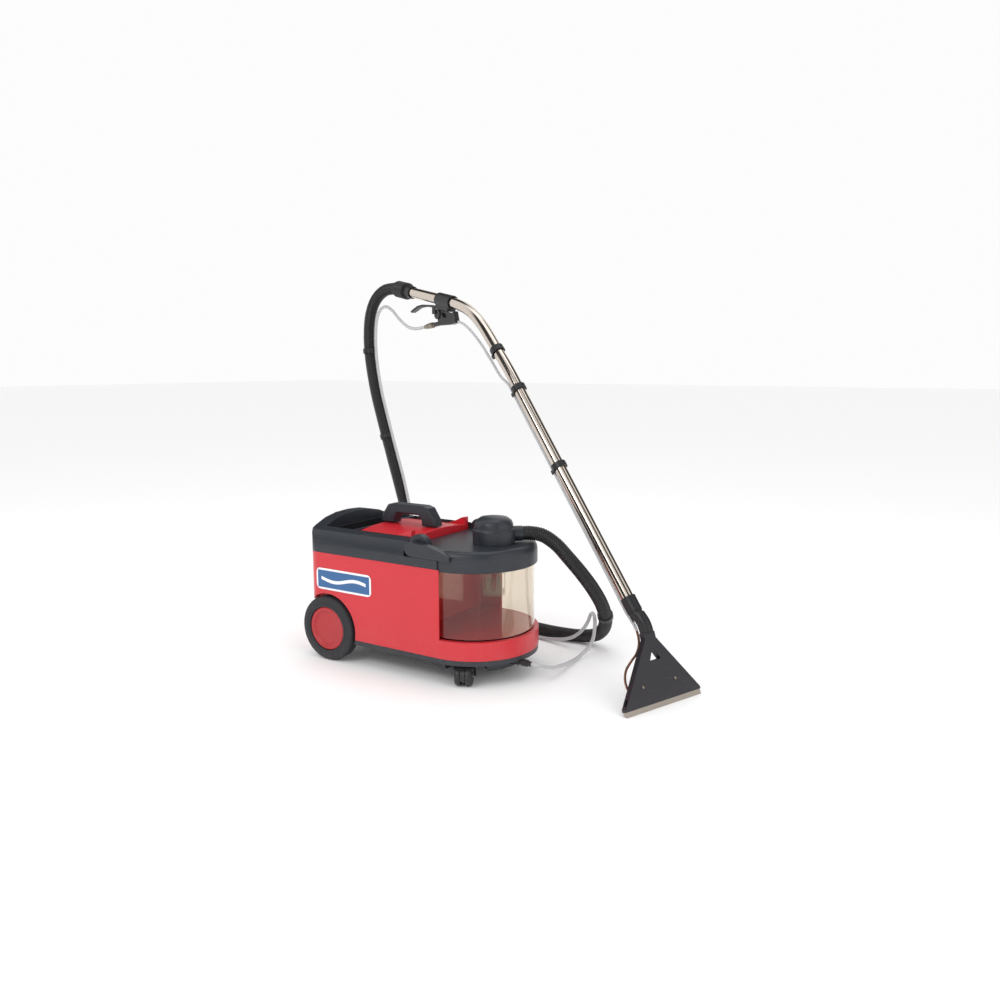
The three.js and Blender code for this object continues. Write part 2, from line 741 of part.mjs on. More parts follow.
function lineConnector() {
  const made = join(
    rod("x", 6, [0, 56], [0, 0], 18),
    rod("x", 9, [8, 30], [0, 0], 18),
    rod("x", 8, [34, 48], [0, 0], 6),
  );
  return laid(made, onInlet(34.5), inletAim);
}

const headLean = new THREE.Vector3(59, 0, 158).normalize(); // from the lip up to the neck
const headLength = 169;
const neckTop = headLength + 4;
const lipRise = 8.3;

function headPlate() {
  const half = lipLength / 2;
  const neck = neckWidth / 2;
  const outline = [
    [lipRise, -half], [lipRise + 6, -half], [headLength - 12, -neck], [neckTop, -neck], [neckTop, neck],
    [headLength - 12, neck], [lipRise + 6, half], [lipRise, half],
  ];
  const hole = [[106, -18], [136, 0], [106, 18]];
  const plate = raised(outline, 16).translate(0, 0, -8);
  const mouth = block([0, 34], [-half + 6, half - 6], [-3.5, 3.5]);
  const window = raised(hole, 40).translate(0, 0, -20);
  return laid(cut(plate, mouth, window), [3, 3], headLean);
}

function floorLip() {
  const half = lipLength / 2;
  const lean = Math.atan2(headLean.z, headLean.x);
  const thick = [-lipThick / 2, lipThick / 2];
  const strip = laid(block([-12, lipRise - gap], [-half, half], thick), [3, 3], headLean);
  const slot = laid(block([-30, 40], [-half + 6, half - 6], [-3.2, 3.2]), [3, 3], headLean);
  const floorSide = block([-60, 60], [-half - 5, half + 5], [-40, 0]);
  return lean > 0 ? cut(strip, slot, floorSide) : strip;
}

function headSocket() {
  const at = [tubeFoot[0], tubeFoot[1]];
  const sleeveParts = join(rod("x", tubeR + 3.6, [-6, 34], [0, 0], 20), rod("x", 17.6, [-24, 0], [0, 0], 20));
  const sleeve = laid(sleeveParts, at, riseAxis);
  const throatFoot = [3 + (neckTop + gap) * headLean.x, 3 + (neckTop + gap) * headLean.z];
  const throatStart = [throatFoot[0] + 6 * headLean.x, 0, throatFoot[1] + 6 * headLean.z];
  const throatWay = curveThrough([
    [throatFoot[0], 0, throatFoot[1]], throatStart, [73, 0, 184], [81.5, 0, 193], [92, 0, 202],
  ]);
  const throat = tube(throatWay, 17, 16, 6);
  const seat = laid(rod("x", tubeR + tubeFit, [-2, 40], [0, 0], 20), at, riseAxis);
  const bore = laid(rod("x", 12.5, [-30, 4], [0, 0], 16), at, riseAxis);
  const mouth = laid(rod("x", 12.5, [-10, 26], [0, 0], 16), throatFoot, headLean);
  return cut(join(sleeve, throat), seat, bore, mouth);
}

const jetY = 62;
const jetOut = new THREE.Vector3(headLean.z, 0, -headLean.x); // straight out of the head's back
// A place over the head's back, at a height along it and a distance out from its middle.
const offHead = (along, out) => [
  3 + along * headLean.x + out * jetOut.x, jetY, 3 + along * headLean.z + out * jetOut.z];
const pipeR = 3.5;

function sprayPipe() {
  return tube(curveThrough([
    [94.6, 2, 161.3], [87, 4, 149], [75, 14, 133], [67, 31, 115], [69, 47, 98], [73, 58, 78], [72, 62, 58],
    [67, jetY, 42], [60, jetY, 33.5], offHead(45, 32), offHead(45, 22.3),
  ]), pipeR, 10, 30);
}

function sprayJet() {
  const [x, , z] = offHead(45, 0);
  const [tipX, , tipZ] = offHead(45, 15);
  const body = laid(rod("x", 6.5, [8.4, 22], [jetY, 0], 12), [x, z], jetOut);
  const nozzle = laid(rod("x", 4.5, [-18, 5], [jetY, 0], 12), [tipX, tipZ], headLean);
  return join(body, nozzle);
}

function sprayLine() {
  return tube(curveThrough([
    [854, 0, 931], [826, 0, 922], [792, 0, 903], [742, 0, 865], [690, 0, 815], [644, 0, 770],
    alongTube(clipReach[1] + 40, lineDrop + 1), alongTube(clipReach[1], lineDrop), alongTube(650, lineDrop),
    alongTube(540, lineDrop), alongTube(clipReach[0] + 30, lineDrop), alongTube(clipReach[0], lineDrop),
    alongTube(380, lineDrop), alongTube(250, lineDrop), alongTube(120, lineDrop), alongTube(60, lineDrop + 0.5),
    alongTube(10, lineDrop + 1), [106, 2, 176], [95, 2, 162],
  ]), lineR, 8, 36);
}

// ---- Hoses and what is on them ----
// A place in the wand's plane, in the machine's frame.
const onWand = ([x, z]) => [
  wandFoot[0] + x * Math.cos(radians(wandHeading)), wandFoot[1] + x * Math.sin(radians(wandHeading)), z];
const wandTop = [-597.5, 429.5, 1052];
const lineEnd = onWand(onInlet(34.5 + 56 + 4 * gap));
const portWay = [Math.cos(radians(portHeading)), Math.sin(radians(portHeading))];
const portPoint = (reach) => [domeX + reach * portWay[0], reach * portWay[1], portZ];
const vacuumRoute = curveThrough([
  portPoint(portReach + 2 * gap), portPoint(portReach + 20), [157, 84, 362], [187, 103, 338], [215, 120, 302],
  [241, 149, 256], [259, 185, 206], [266, 226, 153], [256, 269, 103], [231, 305, 61], [196, 328, 33],
  [150, 335, 21], [97, 327, 19.5], [9, 329, 19.5], [-100, 358, 19.5], [-220, 395, 19.5], [-320, 422, 19.5],
  [-400, 436, 26], [-468, 440, 62], [-520, 440, 130], [-556, 440, 226], [-588, 440, 330], [-616, 440, 420],
  [-646, 440, 515], [-676, 440, 612], [-706, 440, 718], [-726, 440, 830], [-729, 440, 905], [-719, 439, 970],
  [-693, 437, 1018], [-652, 434, 1046], wandTop,
]);
const hingeSplit = 3;
const tankSplit = 7;
const routeEnd = vacuumRoute.points.length - 1;
const lineSteps = 70;
const clipStations = [7.7, 23.5, 26.25]; // places of the three hose clips along the route, in route points

const solutionRoute = curveThrough([
  [193, -30, 50], [205, -29, 49.5], [216, -20, 46], [222, 2, 38], [223, 34, 28], [219, 83, 18],
  [215, 147, 10], [214.5, 199, 11], [222, 229, 25], [231, 240, 48], [235, 242, 75], [232, 250, 100],
  [218, 269, 114], [203, 283, 107], [193, 286, 84], [181, 276, 59], [158, 271, 38], [125, 278, 22],
  [78, 287, 11], [34, 295, 6.5],
  [-20, 311, 5.3], [-107, 333, 5.3], [-227, 370, 5.3], [-327, 397, 6], [-392, 409, 14], [-460, 414, 66],
  [-508, 419, 136], [-535, 424, 232], [-562, 433, 336], [-589, 440, 420], [-619, 440, 515], [-649, 440, 612],
  [-679, 440, 718], [-698, 440, 830], [-700, 441, 905], [-694, 442, 955], [-676, 441, 987], [-650, 437, 994],
  [-620, 430, 982], [-585, 418, 957], [-549, 404, 935], [-514, 391, 921], [-480, 380.5, 917], lineEnd,
]);

function hoseClip(station) {
  const share = station / routeEnd;
  const at = vacuumRoute.getPoint(share);
  const along = vacuumRoute.getTangent(share);
  const made = cut(
    rod("x", hoseR + 3, [-8, 8], [0, 0], 20),
    rod("x", hoseR + 1.2, [-10, 10], [0, 0], 20),
  );
  const frame = new THREE.Quaternion().setFromUnitVectors(new THREE.Vector3(1, 0, 0), along);
  const placed = made.applyQuaternion(frame).translate(at.x, at.y, at.z);
  return cut(placed, tube(solutionRoute, lineR + 2 * gap, 8, lineSteps));
}

// ---- Assembly ----
piece(machine, "base_pan", basePan(), darkShell());
piece(machine, "body_shell", bodyShell(), redShell());
piece(machine, "top_trim", topTrim(), darkShell());
piece(machine, "motor_cover", motorCover(), redShell());
piece(machine, "carry_handle", carryHandle(), darkShell());
piece(machine, "solution_tank", solutionTank(), blackPart());
piece(machine, "vacuum_motor", vacuumMotor(), paint(0x8a8c90, 0.4, 0.9));
piece(machine, "motor_cradle", motorCradle(), blackPart());
piece(machine, "suction_duct", suctionDuct(), blackPart());
piece(machine, "solution_pump", solutionPump(), paint(0x707276, 0.45, 0.8));
piece(machine, "front_coupling", frontCoupling(), blackPart());
piece(machine, "rear_axle", rearAxle(), steel());
piece(machine, "switch_panel", switchPanel(), blackPart());
piece(machine, "vacuum_switch", rockerSwitch(-26), redShell());
piece(machine, "pump_switch", rockerSwitch(26), redShell());
piece(machine, "mains_inlet", mainsInlet(), blackPart());
piece(machine, "side_badge", sideBadge(), paint(0x346296, 0.4));

for (const [side, placed] of nearAndFar) {
  piece(machine, `rear_tyre_${side}`, placed(rearTyre()), rubber());
  piece(machine, `rear_hub_${side}`, placed(rearHub()), redShell());
  piece(machine, `pivot_housing_${side}`, placed(mirrored(pivotHousing())), darkShell());
}

const casterPlaces = [["near", -casterY, casterNearHeading], ["far", casterY, casterFarHeading]];
for (const [side, y, heading] of casterPlaces) {
  const caster = new THREE.Group();
  caster.position.set(casterX, y, 0);
  caster.rotation.z = radians(heading);
  machine.add(caster);
  piece(caster, `caster_stem_${side}`, casterStem(), steel());
  piece(caster, `caster_fork_${side}`, casterFork(), blackPart());
  piece(caster, `caster_wheels_${side}`, casterWheels(), rubber());
}

piece(machine, "recovery_tank", recoveryTank(), paint(0xc4b296, 0.08, 0, 0.4));
piece(machine, "tank_seal", tankSeal(), rubber());
piece(machine, "tank_lid", lid(), darkShell());
piece(machine, "lid_dome", dome(), darkShell());
piece(machine, "float_cage", floatCage(), blackPart());
piece(machine, "float_ball", floatBall(), paint(0xe8e8e4, 0.4));

wand.position.set(wandFoot[0], wandFoot[1], 0);
wand.rotation.z = radians(wandHeading);
piece(wand, "wand_tube", wandTube(), steel());
piece(wand, "wand_cuff", wandCuff(), blackPart());
piece(wand, "tube_collar", tubeCollar(), blackPart());
piece(wand, "line_clip_upper", clipAt(clipReach[1]), blackPart());
piece(wand, "line_clip_lower", clipAt(clipReach[0]), blackPart());
piece(wand, "valve_bracket", valveBracket(), blackPart());
piece(wand, "trigger_valve", triggerValve(), blackPart());
piece(wand, "trigger_lever", triggerLever(), blackPart());
piece(wand, "line_connector", lineConnector(), paint(0x6b6660, 0.3, 1));
piece(wand, "head_socket", headSocket(), blackPart());
piece(wand, "head_plate", headPlate(), paint(0x343238, 0.45));
piece(wand, "floor_lip", floorLip(), steel());
piece(wand, "spray_pipe", sprayPipe(), paint(0xb07a50, 0.25, 1));
piece(wand, "spray_jet", sprayJet(), paint(0xb59a5a, 0.3, 1));
piece(wand, "spray_line", sprayLine(), paint(0xd8d8d8, 0.2, 0, 0.6));

const hose = () => paint(0x262526, 0.6);
cordPiece("vacuum_hose_port", tube(stretch(vacuumRoute, 0, hingeSplit, 4), hoseR, 8, 4), hose());
cordPiece("vacuum_hose_drop", tube(stretch(vacuumRoute, hingeSplit, tankSplit, 8), hoseR, 8, 8), hose());
cordPiece("vacuum_hose_run", tube(stretch(vacuumRoute, tankSplit, routeEnd, 52), hoseR, 8, 52), hose());
cordPiece("solution_hose", tube(solutionRoute, lineR, 8, lineSteps), paint(0xd8d8d8, 0.2, 0, 0.6));
cordPiece("coupling_plug", couplingPlug(), blackPart());
cordPiece("hose_clip_loop", hoseClip(clipStations[0]), blackPart());
cordPiece("hose_clip_mid", hoseClip(clipStations[1]), blackPart());
cordPiece("hose_clip_top", hoseClip(clipStations[2]), blackPart());

// The row's frame: on the floor, under the middle of everything but the free hoses.
cleaner.updateMatrixWorld(true);
const box = new THREE.Box3();
cleaner.traverse((part) => {
  if (part.isMesh && !cordNames.includes(part.name)) box.expandByObject(part, true);
});
const middle = box.getCenter(new THREE.Vector3());
cleaner.position.set(-middle.x, -middle.y, 0);

export default cleaner;
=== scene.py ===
"""A spray-extraction carpet cleaner: wheeled red body, smoked recovery tank, hoses and a steel floor wand."""

import json
import math

import bmesh
import bpy
from mathutils import Matrix, Vector


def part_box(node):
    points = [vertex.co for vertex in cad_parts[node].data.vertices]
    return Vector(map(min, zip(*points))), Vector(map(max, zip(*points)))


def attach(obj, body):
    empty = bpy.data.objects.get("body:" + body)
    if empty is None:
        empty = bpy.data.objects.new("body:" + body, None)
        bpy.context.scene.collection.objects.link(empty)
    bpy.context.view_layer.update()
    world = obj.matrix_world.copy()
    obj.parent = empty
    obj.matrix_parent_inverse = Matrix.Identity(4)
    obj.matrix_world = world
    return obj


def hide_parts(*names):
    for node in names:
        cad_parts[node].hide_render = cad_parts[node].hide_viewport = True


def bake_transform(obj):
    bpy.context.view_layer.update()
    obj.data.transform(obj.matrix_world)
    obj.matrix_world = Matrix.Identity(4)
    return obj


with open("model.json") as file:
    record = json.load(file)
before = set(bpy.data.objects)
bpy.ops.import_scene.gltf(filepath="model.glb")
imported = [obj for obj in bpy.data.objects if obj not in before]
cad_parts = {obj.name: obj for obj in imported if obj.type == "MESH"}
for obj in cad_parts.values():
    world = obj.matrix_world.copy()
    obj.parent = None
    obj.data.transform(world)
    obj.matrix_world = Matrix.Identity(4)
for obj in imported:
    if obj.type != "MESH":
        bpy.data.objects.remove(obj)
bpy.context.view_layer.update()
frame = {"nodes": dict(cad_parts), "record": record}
NODES = frame["nodes"]
BODIES = frame["record"]["behaviour"]["bodies"]
BODY_OF = {node: body for body, nodes in BODIES.items() for node in nodes}
ROOT = "machine"

# ---- Camera ----
camera_data = bpy.data.cameras.new("camera")
camera = bpy.data.objects.new("camera", camera_data)
camera_data.lens = 31.78
camera_data.sensor_width = 36
camera_data.clip_start = 0.05
camera.location = (1.29206, -2.03064, 0.8074)
camera.rotation_euler = (math.radians(90 - 8.79), 0, math.radians(32.47))
bpy.context.collection.objects.link(camera)
bpy.context.scene.camera = camera

# ---- Sizes in metres, in the machine's own axes where named ----
HOSE_R = 0.019
LINE_R = 0.005
RIB_PITCH = 0.0058
RIB_DEPTH = 0.0017
WHEEL_X, WHEEL_Z = -0.3645, 0.089
MIDDLE_Y = -0.1352  # the machine's middle plane
WHEEL_IN, WHEEL_OUT = 0.138, 0.180

VACUUM_ROUTE = [
    (0.1229, -0.0853, 0.369), (0.1373, -0.0723, 0.369), (0.1645, -0.0512, 0.362),
    (0.1945, -0.0322, 0.338), (0.2225, -0.0152, 0.302), (0.2485, 0.0138, 0.256),
    (0.2665, 0.0498, 0.206), (0.2735, 0.0908, 0.153), (0.2635, 0.1338, 0.103), (0.2385, 0.1698, 0.061),
    (0.2035, 0.1928, 0.033), (0.1575, 0.1998, 0.021), (0.1045, 0.1918, 0.0197),
    (0.0165, 0.1938, 0.0197), (-0.0925, 0.2228, 0.0197), (-0.2125, 0.2598, 0.0197),
    (-0.3125, 0.2868, 0.0197), (-0.3925, 0.3008, 0.026), (-0.4605, 0.3048, 0.062),
    (-0.5125, 0.3048, 0.13), (-0.5485, 0.3048, 0.226), (-0.5805, 0.3048, 0.33),
    (-0.6085, 0.3048, 0.42), (-0.6385, 0.3048, 0.515), (-0.6685, 0.3048, 0.612),
    (-0.6985, 0.3048, 0.718), (-0.7185, 0.3048, 0.83), (-0.7215, 0.3048, 0.905),
    (-0.7115, 0.3038, 0.97), (-0.6855, 0.3018, 1.018), (-0.6445, 0.2988, 1.046),
    (-0.59, 0.2943, 1.052),
]
SOLUTION_ROUTE = [
    (0.2005, -0.1652, 0.05), (0.2125, -0.1642, 0.0495), (0.2235, -0.1552, 0.046),
    (0.2295, -0.1332, 0.038), (0.2305, -0.1012, 0.028), (0.2265, -0.0522, 0.018),
    (0.2225, 0.0118, 0.01), (0.222, 0.0638, 0.011), (0.2295, 0.0938, 0.025), (0.2385, 0.1048, 0.048),
    (0.2425, 0.1068, 0.075), (0.2395, 0.1148, 0.1), (0.2255, 0.1338, 0.114), (0.2105, 0.1478, 0.107),
    (0.2005, 0.1508, 0.084), (0.1885, 0.1408, 0.059), (0.1655, 0.1358, 0.038), (0.1325, 0.1428, 0.022),
    (0.0855, 0.1518, 0.011), (0.0415, 0.1598, 0.0065), (-0.0125, 0.1758, 0.0053),
    (-0.0995, 0.1978, 0.0053), (-0.2195, 0.2348, 0.0053), (-0.3195, 0.2618, 0.006),
    (-0.3845, 0.2738, 0.014), (-0.4525, 0.2788, 0.066), (-0.5005, 0.2838, 0.136),
    (-0.5275, 0.2888, 0.232), (-0.5545, 0.2978, 0.336), (-0.5815, 0.3048, 0.42),
    (-0.6115, 0.3048, 0.515), (-0.6415, 0.3048, 0.612), (-0.6715, 0.3048, 0.718),
    (-0.6905, 0.3048, 0.83), (-0.6925, 0.3058, 0.905), (-0.6865, 0.3068, 0.955),
    (-0.6685, 0.3058, 0.987), (-0.6425, 0.3018, 0.994), (-0.6125, 0.2948, 0.982),
    (-0.5775, 0.2828, 0.957), (-0.5415, 0.2688, 0.935), (-0.5065, 0.2558, 0.921),
    (-0.4725, 0.2453, 0.917), (-0.4306, 0.2365, 0.9209),
]

TUBE_ROUTE = [
    (0.44407, -0.0862, 0.211), (0.30281, -0.03409, 0.38486), (0.16155, 0.01803, 0.55873),
    (0.02028, 0.07014, 0.73259), (-0.02271, 0.086, 0.78551), (-0.07569, 0.10555, 0.844),
    (-0.15356, 0.13427, 0.925), (-0.20609, 0.15366, 0.961), (-0.25769, 0.17269, 0.981),
    (-0.32806, 0.19865, 0.997), (-0.40124, 0.22565, 1.012), (-0.46222, 0.24815, 1.0245),
    (-0.5232, 0.27064, 1.037),
]
SPRAY_LINE_ROUTE = [
    (-0.25676, 0.17235, 0.931), (-0.23049, 0.16265, 0.922), (-0.19859, 0.15089, 0.903),
    (-0.15168, 0.13358, 0.865), (-0.10289, 0.11558, 0.815), (-0.05974, 0.09966, 0.77),
    (-0.02844, 0.08812, 0.74979), (-0.00317, 0.07879, 0.72021), (0.0257, 0.06814, 0.68468),
    (0.09326, 0.04322, 0.60153), (0.14055, 0.02577, 0.54332), (0.15898, 0.01897, 0.52064),
    (0.19153, 0.00696, 0.48058), (0.27138, -0.02249, 0.38231), (0.35122, -0.05195, 0.28404),
    (0.38772, -0.06541, 0.23835), (0.41807, -0.07661, 0.20023), (0.44432, -0.08843, 0.176),
    (0.45464, -0.09223, 0.162),
]
SPRAY_PIPE_ROUTE = [
    (0.45501, -0.09237, 0.1613), (0.46145, -0.09688, 0.149), (0.46925, -0.11041, 0.133),
    (0.47087, -0.12913, 0.115), (0.46346, -0.14345, 0.098), (0.4559, -0.15239, 0.078),
    (0.45545, -0.15649, 0.058), (0.46014, -0.15822, 0.042), (0.46671, -0.16064, 0.0335),
    (0.47729, -0.16454, 0.03396), (0.48582, -0.16769, 0.03736),
]


# ---- Curves ----
def smooth_line(points, first=0, last=None, per_span=24):
    """The centripetal curve through the points, from one of them to another, as close steps."""
    p = [Vector(q) for q in points]
    last = len(p) - 1 if last is None else last
    p = [2 * p[0] - p[1], *p, 2 * p[-1] - p[-2]]
    line = []
    for i in range(first, last):
        a, b, c, d = p[i], p[i + 1], p[i + 2], p[i + 3]
        ta, tb, tc = (math.sqrt((q - r).length) for q, r in ((b, a), (c, b), (d, c)))
        m1 = tb * ((b - a) / ta - (c - a) / (ta + tb) + (c - b) / tb)
        m2 = tb * ((c - b) / tb - (d - b) / (tb + tc) + (d - c) / tc)
        for k in range(per_span + (i == last - 1)):
            t = k / per_span
            line.append(
                b * (2 * t**3 - 3 * t**2 + 1)
                + m1 * (t**3 - 2 * t**2 + t)
                + c * (3 * t**2 - 2 * t**3)
                + m2 * (t**3 - t**2)
            )
    return line


def length_of(line):
    return sum((b - a).length for a, b in zip(line, line[1:]))


# ---- Node trees ----
def add(tree, kind, inputs=None, **settings):
    """A node with its settings and its unlinked inputs, or links where an input is another node's output."""
    node = tree.nodes.new(kind)
    for key, value in settings.items():
        setattr(node, key, value)
    for key, value in (inputs or {}).items():
        if isinstance(value, bpy.types.NodeSocket):
            tree.links.new(value, node.inputs[key])
        else:
            node.inputs[key].default_value = value
    return node


def new_group(name, kind, inputs, outputs):
    """A node group with named inputs (name: (socket type, default)) and outputs, and its two end nodes."""
    group = bpy.data.node_groups.new(name, kind)
    for key, (socket, default) in inputs.items():
        made = group.interface.new_socket(key, in_out="INPUT", socket_type=socket)
        if default is not None:
            made.default_value = default
    for key, socket in outputs.items():
        group.interface.new_socket(key, in_out="OUTPUT", socket_type=socket)
    return group, group.nodes.new("NodeGroupInput"), group.nodes.new("NodeGroupOutput")


def maths(tree, operation, a, b=0.0, c=0.0):
    return add(tree, "ShaderNodeMath", {0: a, 1: b, 2: c}, operation=operation).outputs[0]


# ---- Shared shader effects ----
def make_grain_group():
    """Fine moulded or cast surface: a normal from two sizes of noise."""
    group, start, end = new_group(
        "fine_grain", "ShaderNodeTree",
        {"Scale": ("NodeSocketFloat", 900.0), "Height": ("NodeSocketFloat", 0.0001),
         "Waviness": ("NodeSocketFloat", 0.0)},
        {"Normal": "NodeSocketVector"},
    )
    where = add(group, "ShaderNodeTexCoord").outputs["Object"]
    fine = add(group, "ShaderNodeTexNoise",
               {"Vector": where, "Scale": start.outputs["Scale"], "Detail": 3.0, "Roughness": 0.6})
    broad = add(group, "ShaderNodeTexNoise", {"Vector": where, "Scale": 9.0, "Detail": 1.0})
    wave = add(group, "ShaderNodeBump",
               {"Height": broad.outputs["Fac"], "Distance": start.outputs["Waviness"], "Strength": 1.0})
    bump = add(group, "ShaderNodeBump",
               {"Height": fine.outputs["Fac"], "Distance": start.outputs["Height"],
                "Strength": 1.0, "Normal": wave.outputs["Normal"]})
    group.links.new(bump.outputs["Normal"], end.inputs["Normal"])
    return group


def make_wear_group():
    """Dust that gathers low down, soft blotches and thin scuffs: a colour and a roughness."""
    group, start, end = new_group(
        "dust_and_scuffs", "ShaderNodeTree",
        {"Color": ("NodeSocketColor", (0.5, 0.5, 0.5, 1)),
         "Dust Color": ("NodeSocketColor", (0.42, 0.38, 0.33, 1)),
         "Roughness": ("NodeSocketFloat", 0.4), "Blotch": ("NodeSocketFloat", 0.1),
         "Dust": ("NodeSocketFloat", 0.1), "Dust Height": ("NodeSocketFloat", 0.14),
         "Scuffs": ("NodeSocketFloat", 0.1)},
        {"Color": "NodeSocketColor", "Roughness": "NodeSocketFloat"},
    )
    where = add(group, "ShaderNodeTexCoord").outputs["Object"]
    blotch = add(group, "ShaderNodeTexNoise", {"Vector": where, "Scale": 7.0, "Detail": 4.0})
    shade = maths(group, "MULTIPLY_ADD", blotch.outputs["Fac"], start.outputs["Blotch"], 1.0)
    shade = maths(group, "SUBTRACT", shade, maths(group, "MULTIPLY", start.outputs["Blotch"], 0.5))
    shaded = add(group, "ShaderNodeVectorMath", {0: start.outputs["Color"], "Scale": shade},
                 operation="SCALE")
    height = add(group, "ShaderNodeSeparateXYZ", {"Vector": where}).outputs["Z"]
    low = add(group, "ShaderNodeMapRange",
              {"Value": height, "From Min": 0.0, "From Max": start.outputs["Dust Height"],
               "To Min": 1.0, "To Max": 0.0})
    speck = add(group, "ShaderNodeTexNoise",
                {"Vector": where, "Scale": 60.0, "Detail": 6.0, "Roughness": 0.7})
    specks = add(group, "ShaderNodeMapRange",
                 {"Value": speck.outputs["Fac"], "From Min": 0.45, "From Max": 0.75,
                  "To Min": 0.15, "To Max": 1.0})
    dusty = maths(group, "MULTIPLY", low.outputs["Result"], specks.outputs["Result"])
    dusty = maths(group, "MULTIPLY", dusty, start.outputs["Dust"])
    turned = add(group, "ShaderNodeMapping",
                 {"Vector": where, "Rotation": (0.3, 0.5, 0.2), "Scale": (14, 14, 420)})
    streak = add(group, "ShaderNodeTexNoise",
                 {"Vector": turned.outputs["Vector"], "Scale": 1.0, "Detail": 2.0})
    scuff = add(group, "ShaderNodeMapRange",
                {"Value": streak.outputs["Fac"], "From Min": 0.66, "From Max": 0.74,
                 "To Min": 0.0, "To Max": 1.0})
    scuffed = maths(group, "MULTIPLY", scuff.outputs["Result"], start.outputs["Scuffs"])
    amount = maths(group, "MAXIMUM", dusty, maths(group, "MULTIPLY", scuffed, 0.35))
    mix = add(group, "ShaderNodeMix", data_type="RGBA")
    group.links.new(amount, mix.inputs["Factor"])
    group.links.new(shaded.outputs["Vector"], mix.inputs[6])
    group.links.new(start.outputs["Dust Color"], mix.inputs[7])
    group.links.new(mix.outputs[2], end.inputs["Color"])
    rough = maths(group, "MULTIPLY_ADD", amount, 0.5, start.outputs["Roughness"])
    rough = maths(group, "ADD", rough, maths(group, "MULTIPLY", scuffed, 0.15))
    group.links.new(rough, end.inputs["Roughness"])
    return group


FINE_GRAIN = make_grain_group()
DUST_AND_SCUFFS = make_wear_group()


def linear(red, green, blue):
    """A colour given in display values, 0 to 255."""
    return tuple(
        c / 12.92 if c <= 0.04045 else ((c + 0.055) / 1.055) ** 2.4
        for c in (red / 255, green / 255, blue / 255)
    ) + (1.0,)


def finish_material(name, colour, roughness, grain=(900.0, 0.0), waviness=0.0, blotch=0.08, dust=0.1,
                    dust_height=0.16, scuffs=0.1, **shader):
    """A material with grain, dust and scuffs; shader holds plain values for the surface's own sockets."""
    material = bpy.data.materials.new(name)
    material.use_nodes = True
    tree = material.node_tree
    surface = tree.nodes["Principled BSDF"]
    wear = add(tree, "ShaderNodeGroup", node_tree=DUST_AND_SCUFFS)
    for key, value in {"Color": colour, "Roughness": roughness, "Blotch": blotch, "Dust": dust,
                       "Dust Height": dust_height, "Scuffs": scuffs}.items():
        wear.inputs[key].default_value = value
    texture = add(tree, "ShaderNodeGroup", node_tree=FINE_GRAIN)
    texture.inputs["Scale"].default_value = grain[0]
    texture.inputs["Height"].default_value = grain[1]
    texture.inputs["Waviness"].default_value = waviness
    tree.links.new(wear.outputs["Color"], surface.inputs["Base Color"])
    tree.links.new(wear.outputs["Roughness"], surface.inputs["Roughness"])
    tree.links.new(texture.outputs["Normal"], surface.inputs["Normal"])
    for key, value in shader.items():
        surface.inputs[key.replace("_", " ")].default_value = value
    material.diffuse_color = colour
    return material


RED_SHELL = finish_material("red_shell", linear(203, 34, 46), 0.34, grain=(700.0, 0.00004), waviness=0.0006,
                            blotch=0.10, dust=0.12, scuffs=0.25, Coat_Weight=0.15)
RED_HUB = finish_material("red_hub", linear(176, 38, 44), 0.42, grain=(800.0, 0.00006), blotch=0.12,
                          dust=0.06)
DARK_TRIM = finish_material("dark_trim", linear(40, 44, 51), 0.38, grain=(1100.0, 0.00012), blotch=0.12,
                            dust=0.1, scuffs=0.2)
BLACK_PART = finish_material("black_part", linear(32, 32, 35), 0.38, grain=(1200.0, 0.00008), blotch=0.15,
                             dust=0.08, scuffs=0.2)
TYRE_RUBBER = finish_material("tyre_rubber", linear(38, 40, 44), 0.62, grain=(600.0, 0.00018), blotch=0.2,
                              dust=0.1, dust_height=0.08)
SEAL_RUBBER = finish_material("seal_rubber", linear(30, 30, 32), 0.7, grain=(900.0, 0.0001))
HOSE_BLACK = finish_material("hose_black", linear(23, 22, 24), 0.34, grain=(1000.0, 0.00005), blotch=0.2,
                             dust=0.06, dust_height=0.2)
HEAD_BLACK = finish_material("head_black", linear(34, 31, 38), 0.36, grain=(900.0, 0.00006), blotch=0.2,
                             dust=0.06, dust_height=0.04, scuffs=0.25)
STEEL = finish_material("polished_steel", linear(214, 203, 192), 0.13, grain=(60.0, 0.00002), blotch=0.1,
                        dust=0.05, scuffs=0.4, Metallic=1.0)
LIP_STEEL = finish_material("worn_steel", linear(178, 168, 158), 0.36, grain=(300.0, 0.00006), blotch=0.3,
                            dust=0.2, dust_height=0.03, scuffs=0.7, Metallic=1.0)
PLATED = finish_material("plated_metal", linear(150, 140, 126), 0.25, grain=(200.0, 0.00003),
                         blotch=0.3, Metallic=1.0)
COPPER = finish_material("copper_pipe", linear(140, 96, 74), 0.28, grain=(200.0, 0.00003),
                         blotch=0.5, Metallic=1.0)
BRASS = finish_material("brass_jet", linear(190, 158, 96), 0.28, grain=(200.0, 0.00003),
                        blotch=0.3, Metallic=1.0)
CAST_METAL = finish_material("cast_metal", linear(150, 152, 156), 0.4, grain=(300.0, 0.0001),
                             blotch=0.2, Metallic=1.0)


